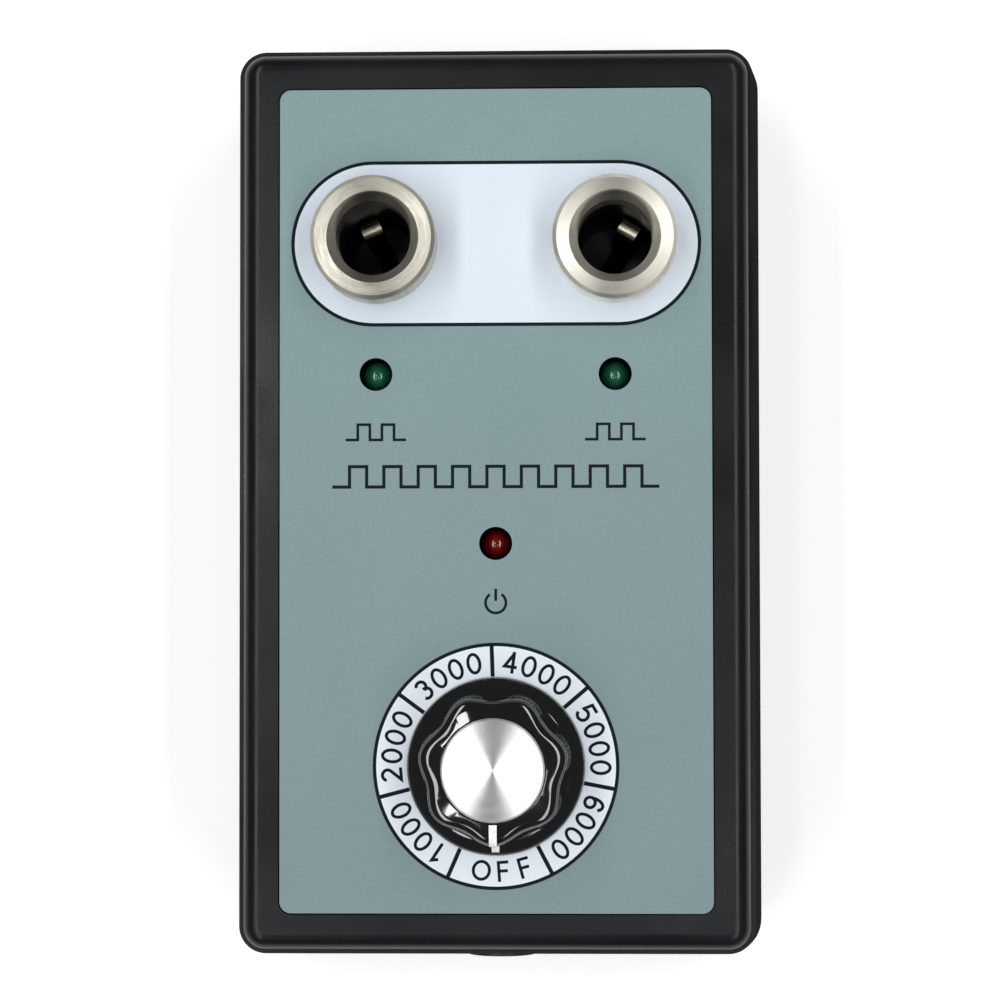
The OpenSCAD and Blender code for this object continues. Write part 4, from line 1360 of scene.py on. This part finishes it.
@dataclass
class ControlKnob:
    """The lobed knob with its skirt, spun cap and pointer line."""

    foot_z: float = 40.4
    height: float = 14.2
    skirt_r: float = 13.8
    skirt_edge: float = 1.0
    skirt_rise: float = 1.6
    edge_round: float = 0.25
    edge_rise: float = 0.3
    edge_deg: float = 13.5
    edge_steps: int = 4
    skirt_in: float = 0.55
    skirt_out: float = 1.1
    grip_r: float = 11.6
    foot_reach: float = 0.5
    foot_rise: float = 0.09
    foot_power: float = 1.6
    foot_steps: int = 4
    wall_steps: int = 4
    round_steps: int = 12
    crown_deg: float = 7.0
    crown_run: float = 1.6
    ease_deg: float = 22.0
    ease_r: float = 3.5
    ease_steps: int = 6
    cap_r: float = 7.95
    cap_seat: float = 0.8
    cap_land: float = 2.2
    crown_gap: float = 0.3
    lip_gap: float = 0.12
    seat_gap: float = 0.1
    foot_in: float = 0.4
    foot_hollow: float = 0.2
    lobes: int = 7
    lobe_depth: float = 1.1
    pointer_w: float = 1.2
    pointer_lift: float = 0.05
    pointer_sink: float = 0.25
    pointer_in: float = 0.2
    pointer_out: float = 0.5
    steps: int = 168
    plastic: MouldedPlastic = MouldedPlastic("knob_plastic", srgb(8, 8, 9), roughness=0.1, gloss=0.7,
                                             coat=0.7, grain_per_mm=1.2, grain_depth=0.001)
    paint: MouldedPlastic = MouldedPlastic("pointer_paint", srgb(245, 245, 245), roughness=0.35)
    metal: TurnedMetal = TurnedMetal("spun_cap", srgb(250, 250, 251), (0.0, KNOB_Y), roughness=0.33,
                                     pitch=0.1, spread=0.9)

    def build(self) -> None:
        """Builds and dresses the knob's visible pieces."""
        plastic = self.plastic.material()
        dress(self.grip(plastic), plastic, Body.KNOB, "knob_plastic")
        dress(self.pointer(), self.paint.material(), Body.KNOB, "pointer_white")
        cap = solid_copy("knob_cap", "knob_cap_disc", sharp_deg=25)
        dress(cap, self.metal.material(), Body.KNOB, "cap_aluminium")

    def skirt(self) -> list[Point3]:
        """Works out the half profile of the skirt, from its foot up to the grip.

        Returns:
            Radius, height and share of the lobes at each point.
        """
        edge_z = self.foot_z + self.skirt_edge
        round_z = edge_z - self.edge_round
        slope = self.skirt_rise / (self.skirt_r - self.grip_r)
        rows = [(self.skirt_r, self.foot_z, 0.0), (self.skirt_r, round_z, 0.0)]
        for step in range(1, self.edge_steps + 1):
            turn = math.radians(step * self.edge_deg)
            rows.append((self.skirt_r - self.edge_round * (1 - math.cos(turn)),
                         round_z + self.edge_rise * math.sin(turn), 0.0))
        for radius in (self.skirt_r - self.skirt_in, self.grip_r + self.skirt_out):
            rows.append((radius, edge_z + slope * (self.skirt_r - radius), 0.0))
        bend_r = self.grip_r + self.foot_reach
        bend_z = edge_z + slope * (self.skirt_r - bend_r)
        for step in range(self.foot_steps + 1):
            share = step / self.foot_steps
            rows.append((bend_r - self.foot_reach * share, bend_z + self.foot_rise * step ** self.foot_power,
                         share))
        return rows

    def outside(self) -> list[Point3]:
        """Works out the half profile from the skirt's foot up to the cap.

        Returns:
            Radius, height and share of the lobes at each point.
        """
        rows = self.skirt()
        wall_z = rows[-1][1]
        top = self.foot_z + self.height
        crown, ease = math.radians(self.crown_deg), math.radians(self.ease_deg)
        crown_in = self.cap_r + self.crown_gap
        crown_out = crown_in + self.crown_run
        crown_z = top - self.crown_run * math.tan(crown)
        edge_in = crown_out + self.ease_r * (math.sin(ease) - math.sin(crown))
        edge_z = crown_z - self.ease_r * (math.cos(crown) - math.cos(ease))
        edge_r = (self.grip_r - edge_in) / (1 - math.sin(ease))
        round_z = edge_z - edge_r * math.cos(ease)
        for step in range(1, self.wall_steps):
            rows.append((self.grip_r, wall_z + (round_z - wall_z) * step / self.wall_steps, 1.0))
        for step in range(self.round_steps + 1):
            slope = math.pi / 2 + (ease - math.pi / 2) * step / self.round_steps
            rows.append((edge_in + edge_r * (math.sin(slope) - math.sin(ease)),
                         edge_z - edge_r * (math.cos(ease) - math.cos(slope)), 1.0))
        for step in range(1, self.ease_steps + 1):
            slope = ease + (crown - ease) * step / self.ease_steps
            radius = crown_out + self.ease_r * (math.sin(slope) - math.sin(crown))
            rows.append((radius, crown_z - self.ease_r * (math.cos(crown) - math.cos(slope)),
                         (radius - crown_in) / (edge_in - crown_in)))
        return rows + [(crown_in, top, 0.0), (self.cap_r + self.lip_gap, top, 0.0)]

    def grip(self, plastic: Material) -> Piece:
        """Turns the profile, then presses the hollows between the lobes with a node tree.

        Args:
            plastic: The grip's material.

        Returns:
            The grip, standing for the CAD knob.
        """
        seat_z = self.foot_z + self.height - self.cap_seat
        inner = self.cap_r - self.cap_land
        start = (inner, self.foot_z + self.foot_hollow, 0.0)
        rows = [start, (self.skirt_r - self.foot_in, self.foot_z, 0.0), *self.outside(),
                (self.cap_r + self.seat_gap, seat_z, 0.0), (inner, seat_z, 0.0)]
        piece = lathe("knob_grip", [(r, z) for r, z, _ in (*rows, start)], self.steps, (0.0, KNOB_Y))
        shares = {(round(r, 4), round(z, 4)): share for r, z, share in rows}
        layer = piece.data.attributes.new("lobe_share", "FLOAT", "POINT")
        for index, vertex in enumerate(piece.data.vertices):
            radius = math.hypot(vertex.co.x / MM, vertex.co.y / MM - KNOB_Y)
            key = min(shares, key=lambda k: abs(k[0] - radius) + abs(k[1] - vertex.co.z / MM))
            layer.data[index].value = shares[key]

        def fill(bench: NodeBench, given: Sockets) -> Socket:
            """Moves each point inwards by its share of the hollow at its turn.

            Args:
                bench: The tree's bench.
                given: The tree's inputs.

            Returns:
                The pressed form.
            """
            place = bench.add("GeometryNodeInputPosition").outputs[0]
            flat = bench.vector("MULTIPLY", bench.vector("SUBTRACT", place, given["Axis"]), (1, 1, 0))
            outward = bench.vector("NORMALIZE", flat)
            heading = bench.parts(outward)
            turn = bench.math("ARCTAN2", heading["X"], bench.math("MULTIPLY", heading["Y"], -1.0))
            wave = bench.math("COSINE", bench.math("MULTIPLY", turn, given["Lobes"]))
            hollow = bench.math("MULTIPLY", bench.math("SUBTRACT", 1.0, wave), 0.5)
            share = bench.add("GeometryNodeInputNamedAttribute", {"Name": "lobe_share"}, data_type="FLOAT")
            depth = bench.math("MULTIPLY", bench.math("MULTIPLY", hollow, share.outputs[0]), given["Depth"])
            inward = {0: outward, "Scale": bench.math("MULTIPLY", depth, -1.0)}
            shift = bench.add("ShaderNodeVectorMath", inward, operation="SCALE").outputs[0]
            moved = bench.add("GeometryNodeSetPosition", {"Geometry": given["Geometry"], "Offset": shift})
            return moved.outputs[0]

        tree = make_tree("lobed_grip", {"Axis": VECTOR, "Lobes": FLOAT, "Depth": FLOAT}, fill)
        run_tree("knob_grip", tree, {"Axis": (0, KNOB_Y * MM, 0), "Lobes": float(self.lobes),
                                     "Depth": self.lobe_depth * MM, "Material": plastic}, piece)
        soften(piece, sharp_deg=40)
        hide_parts("control_knob")
        return piece

    def pointer(self) -> Piece:
        """Lays the pointer line over the lobe that it stands on.

        Returns:
            The line, standing for the CAD pointer.
        """
        low, high = self.cap_r + self.pointer_in, self.skirt_r - self.pointer_out
        rows = [Vector((r, z)) for r, z, _ in self.outside() if low < r < high]
        points, faces = [], []
        for i, row in enumerate(rows):
            along = (rows[min(len(rows) - 1, i + 1)] - rows[max(0, i - 1)]).normalized()
            normal = Vector((along.y, -along.x))
            for lift in (self.pointer_lift, -self.pointer_sink):
                radius, height = row + normal * lift
                points += [(side.value * self.pointer_w / 2, KNOB_Y - radius, height) for side in Side]
        corners = 4
        end = corners * (len(rows) - 1)
        for a in range(0, end, corners):
            b = a + corners
            faces += [(a, a + 1, b + 1, b), (a + 2, b + 2, b + 3, a + 3), (a, b, b + 2, a + 2),
                      (a + 1, a + 3, b + 3, b + 1)]
        faces += [(0, 2, 3, 1), (end, end + 1, end + 3, end + 2)]
        piece = soften(mesh_piece("knob_pointer_line", points, faces), sharp_deg=40)
        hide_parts("knob_pointer")
        return piece


@dataclass
class PowerInlet:
    """The round inlet in the lower end wall."""

    shell: MouldedPlastic = MouldedPlastic("inlet_plastic", srgb(22, 22, 23), roughness=0.4,
                                           grain_depth=0.006)
    nickel: PlatedMetal = PlatedMetal("inlet_nickel", srgb(205, 203, 198), 0.22)

    def build(self) -> None:
        """Dresses the inlet."""
        nickel = self.nickel.material()
        dress(solid_copy("inlet_body", "inlet_shell"), self.shell.material(), Body.CASE, "insulator")
        dress(solid_copy("inlet_pin", "inlet_centre_pin"), nickel, Body.CASE, "nickel")
        for node in ("inlet_nut", "inlet_tags"):
            paint_node(node, nickel)


@dataclass
class Insides:
    """What lies inside the closed box and behind the knob."""

    nodes_by_finish: dict[Finish, tuple[str, ...]] = field(default_factory=lambda: {
        PlatedMetal("tinned_steel", srgb(190, 190, 188), 0.3): (
            "lamp_leads", "control_can", "bush_washer", "control_pins"),
        PlatedMetal("zinc_screws", srgb(165, 168, 172), 0.3): ("board_screws", "knob_set_screw"),
        PlatedMetal("plated_nuts", srgb(205, 203, 198), 0.25): (
            "left_collar_nut", "right_collar_nut", "bush_nut"),
        PlatedMetal("plain_brass", srgb(196, 160, 90), 0.3): ("earth_strap", "control_bush", "knob_insert"),
        PlatedMetal("shaft_aluminium", srgb(200, 200, 202), 0.3): ("control_shaft",),
        MouldedPlastic("board_laminate", srgb(46, 100, 62), 0.4): ("circuit_board", "control_track"),
        MouldedPlastic("coil_potting", srgb(36, 36, 38), 0.5): (
            "left_spark_coil", "right_spark_coil", "timer_chip", "drive_transistors", "control_wiper"),
        MouldedPlastic("red_insulation", srgb(170, 30, 24), 0.45): (
            "left_coil_lead", "right_coil_lead", "supply_leads"),
        MouldedPlastic("black_insulation", srgb(28, 28, 28), 0.45): ("earth_lead",),
        MouldedPlastic("capacitor_sleeve", srgb(36, 50, 110), 0.3): ("filter_capacitors",),
        MouldedPlastic("resistor_lacquer", srgb(196, 168, 128), 0.4): ("resistors",),
    })

    def build(self) -> None:
        """Gives each inner node its finish."""
        for finish, nodes in self.nodes_by_finish.items():
            material = finish.material()
            for node in nodes:
                paint_node(node, material)


# Studio


@dataclass(frozen=True)
class SoftLight:
    """One soft light, aimed at the origin; its place and sizes are in metres."""

    name: str
    at: Point3
    width: float
    length: float
    power: float

    def hang(self) -> None:
        """Hangs the light."""
        data = bpy.data.lights.new(self.name, "AREA")
        data.shape = "RECTANGLE"
        data.size = self.width
        data.size_y = self.length
        data.energy = self.power
        x, y, z = self.at
        light = add_object(self.name, data)
        light.location = self.at
        light.rotation_euler = (-math.atan2(y, math.hypot(x, z)), math.atan2(x, z), 0)


@dataclass
class Studio:
    """White floor, soft lights and the camera above the label."""

    camera_at: Point3 = (17.742, -18.339, 546.092)
    camera_turn: Point3 = (0.03595, 0.03372, -0.00154)
    lens: float = 116.358
    sensor_w: float = 36.0
    near_clip: float = 0.01
    lamps: tuple[SoftLight, ...] = (
        SoftLight("strip_left", (-0.46, 0.0, 0.95), 0.2, 2.0, 7.4),
        SoftLight("strip_right", (0.46, 0.0, 0.95), 0.2, 2.0, 7.4),
        SoftLight("box_upper", (-0.18, 0.09, 0.95), 0.1, 0.12, 0.42),
        SoftLight("box_lower", (-0.18, -0.26, 0.95), 0.08, 0.08, 0.28),
        SoftLight("box_near", (0.1, -0.15, 0.95), 0.1, 0.1, 0.19),
    )
    sky: float = 0.12
    sky_tint: Colour = (0.96, 0.98, 1.0, 1.0)
    floor_half: float = 3000.0
    floor_z: float = -0.05
    floor_tone: Colour = (0.75, 0.75, 0.75, 1.0)
    floor_roughness: float = 0.9
    floor_glow: float = 0.5

    def build(self) -> None:
        """Builds the studio."""
        self.camera()
        self.lights()
        self.floor()

    def camera(self) -> None:
        """Sets the camera at the photograph's place."""
        data = bpy.data.cameras.new("camera")
        data.lens = self.lens
        data.sensor_width = self.sensor_w
        data.clip_start = self.near_clip
        camera = add_object("camera", data)
        camera.location = Vector(self.camera_at) * MM
        camera.rotation_euler = self.camera_turn
        bpy.context.scene.camera = camera

    def lights(self) -> None:
        """Hangs the soft lights and sets a pale sky."""
        for lamp in self.lamps:
            lamp.hang()
        world = bpy.data.worlds.new("sky")
        world.use_nodes = True
        sky = world.node_tree.nodes["Background"].inputs
        sky["Color"].default_value = self.sky_tint
        sky["Strength"].default_value = self.sky
        bpy.context.scene.world = world
        bpy.context.scene.view_settings.view_transform = "Standard"

    def floor(self) -> None:
        """Lays a white floor that shows white to the camera and in reflections, and keeps the shadow."""
        half = self.floor_half
        plan = ((-half, -half), (half, -half), (half, half), (-half, half))
        piece = mesh_piece("floor", [(x, y, self.floor_z) for x, y in plan], [(0, 1, 2, 3)])
        bench = ShaderBench("floor_white")
        paths = bench.add("ShaderNodeLightPath").outputs
        mirrored = bench.math("MAXIMUM", paths["Is Glossy Ray"], paths["Is Transmission Ray"])
        seen = bench.math("MAXIMUM", paths["Is Camera Ray"], mirrored)
        bench.set(Base_Color=self.floor_tone, Roughness=self.floor_roughness, Specular_IOR_Level=0.0,
                  Emission_Color=WHITE, Emission_Strength=bench.math("MULTIPLY", seen, self.floor_glow))
        piece.data.materials.append(bench.material)


def main() -> None:
    """Builds the studio and each sub-assembly in order."""
    logging.basicConfig(level=logging.INFO, format="%(name)s: %(message)s")
    parts = (Studio(), CaseShells(), FaceLabel(), TestSockets(), Lamps(), ControlKnob(), PowerInlet(),
             Insides())
    for part in parts:
        LOG.info("building %s", type(part).__name__)
        part.build()


if __name__ == "__main__":
    main()
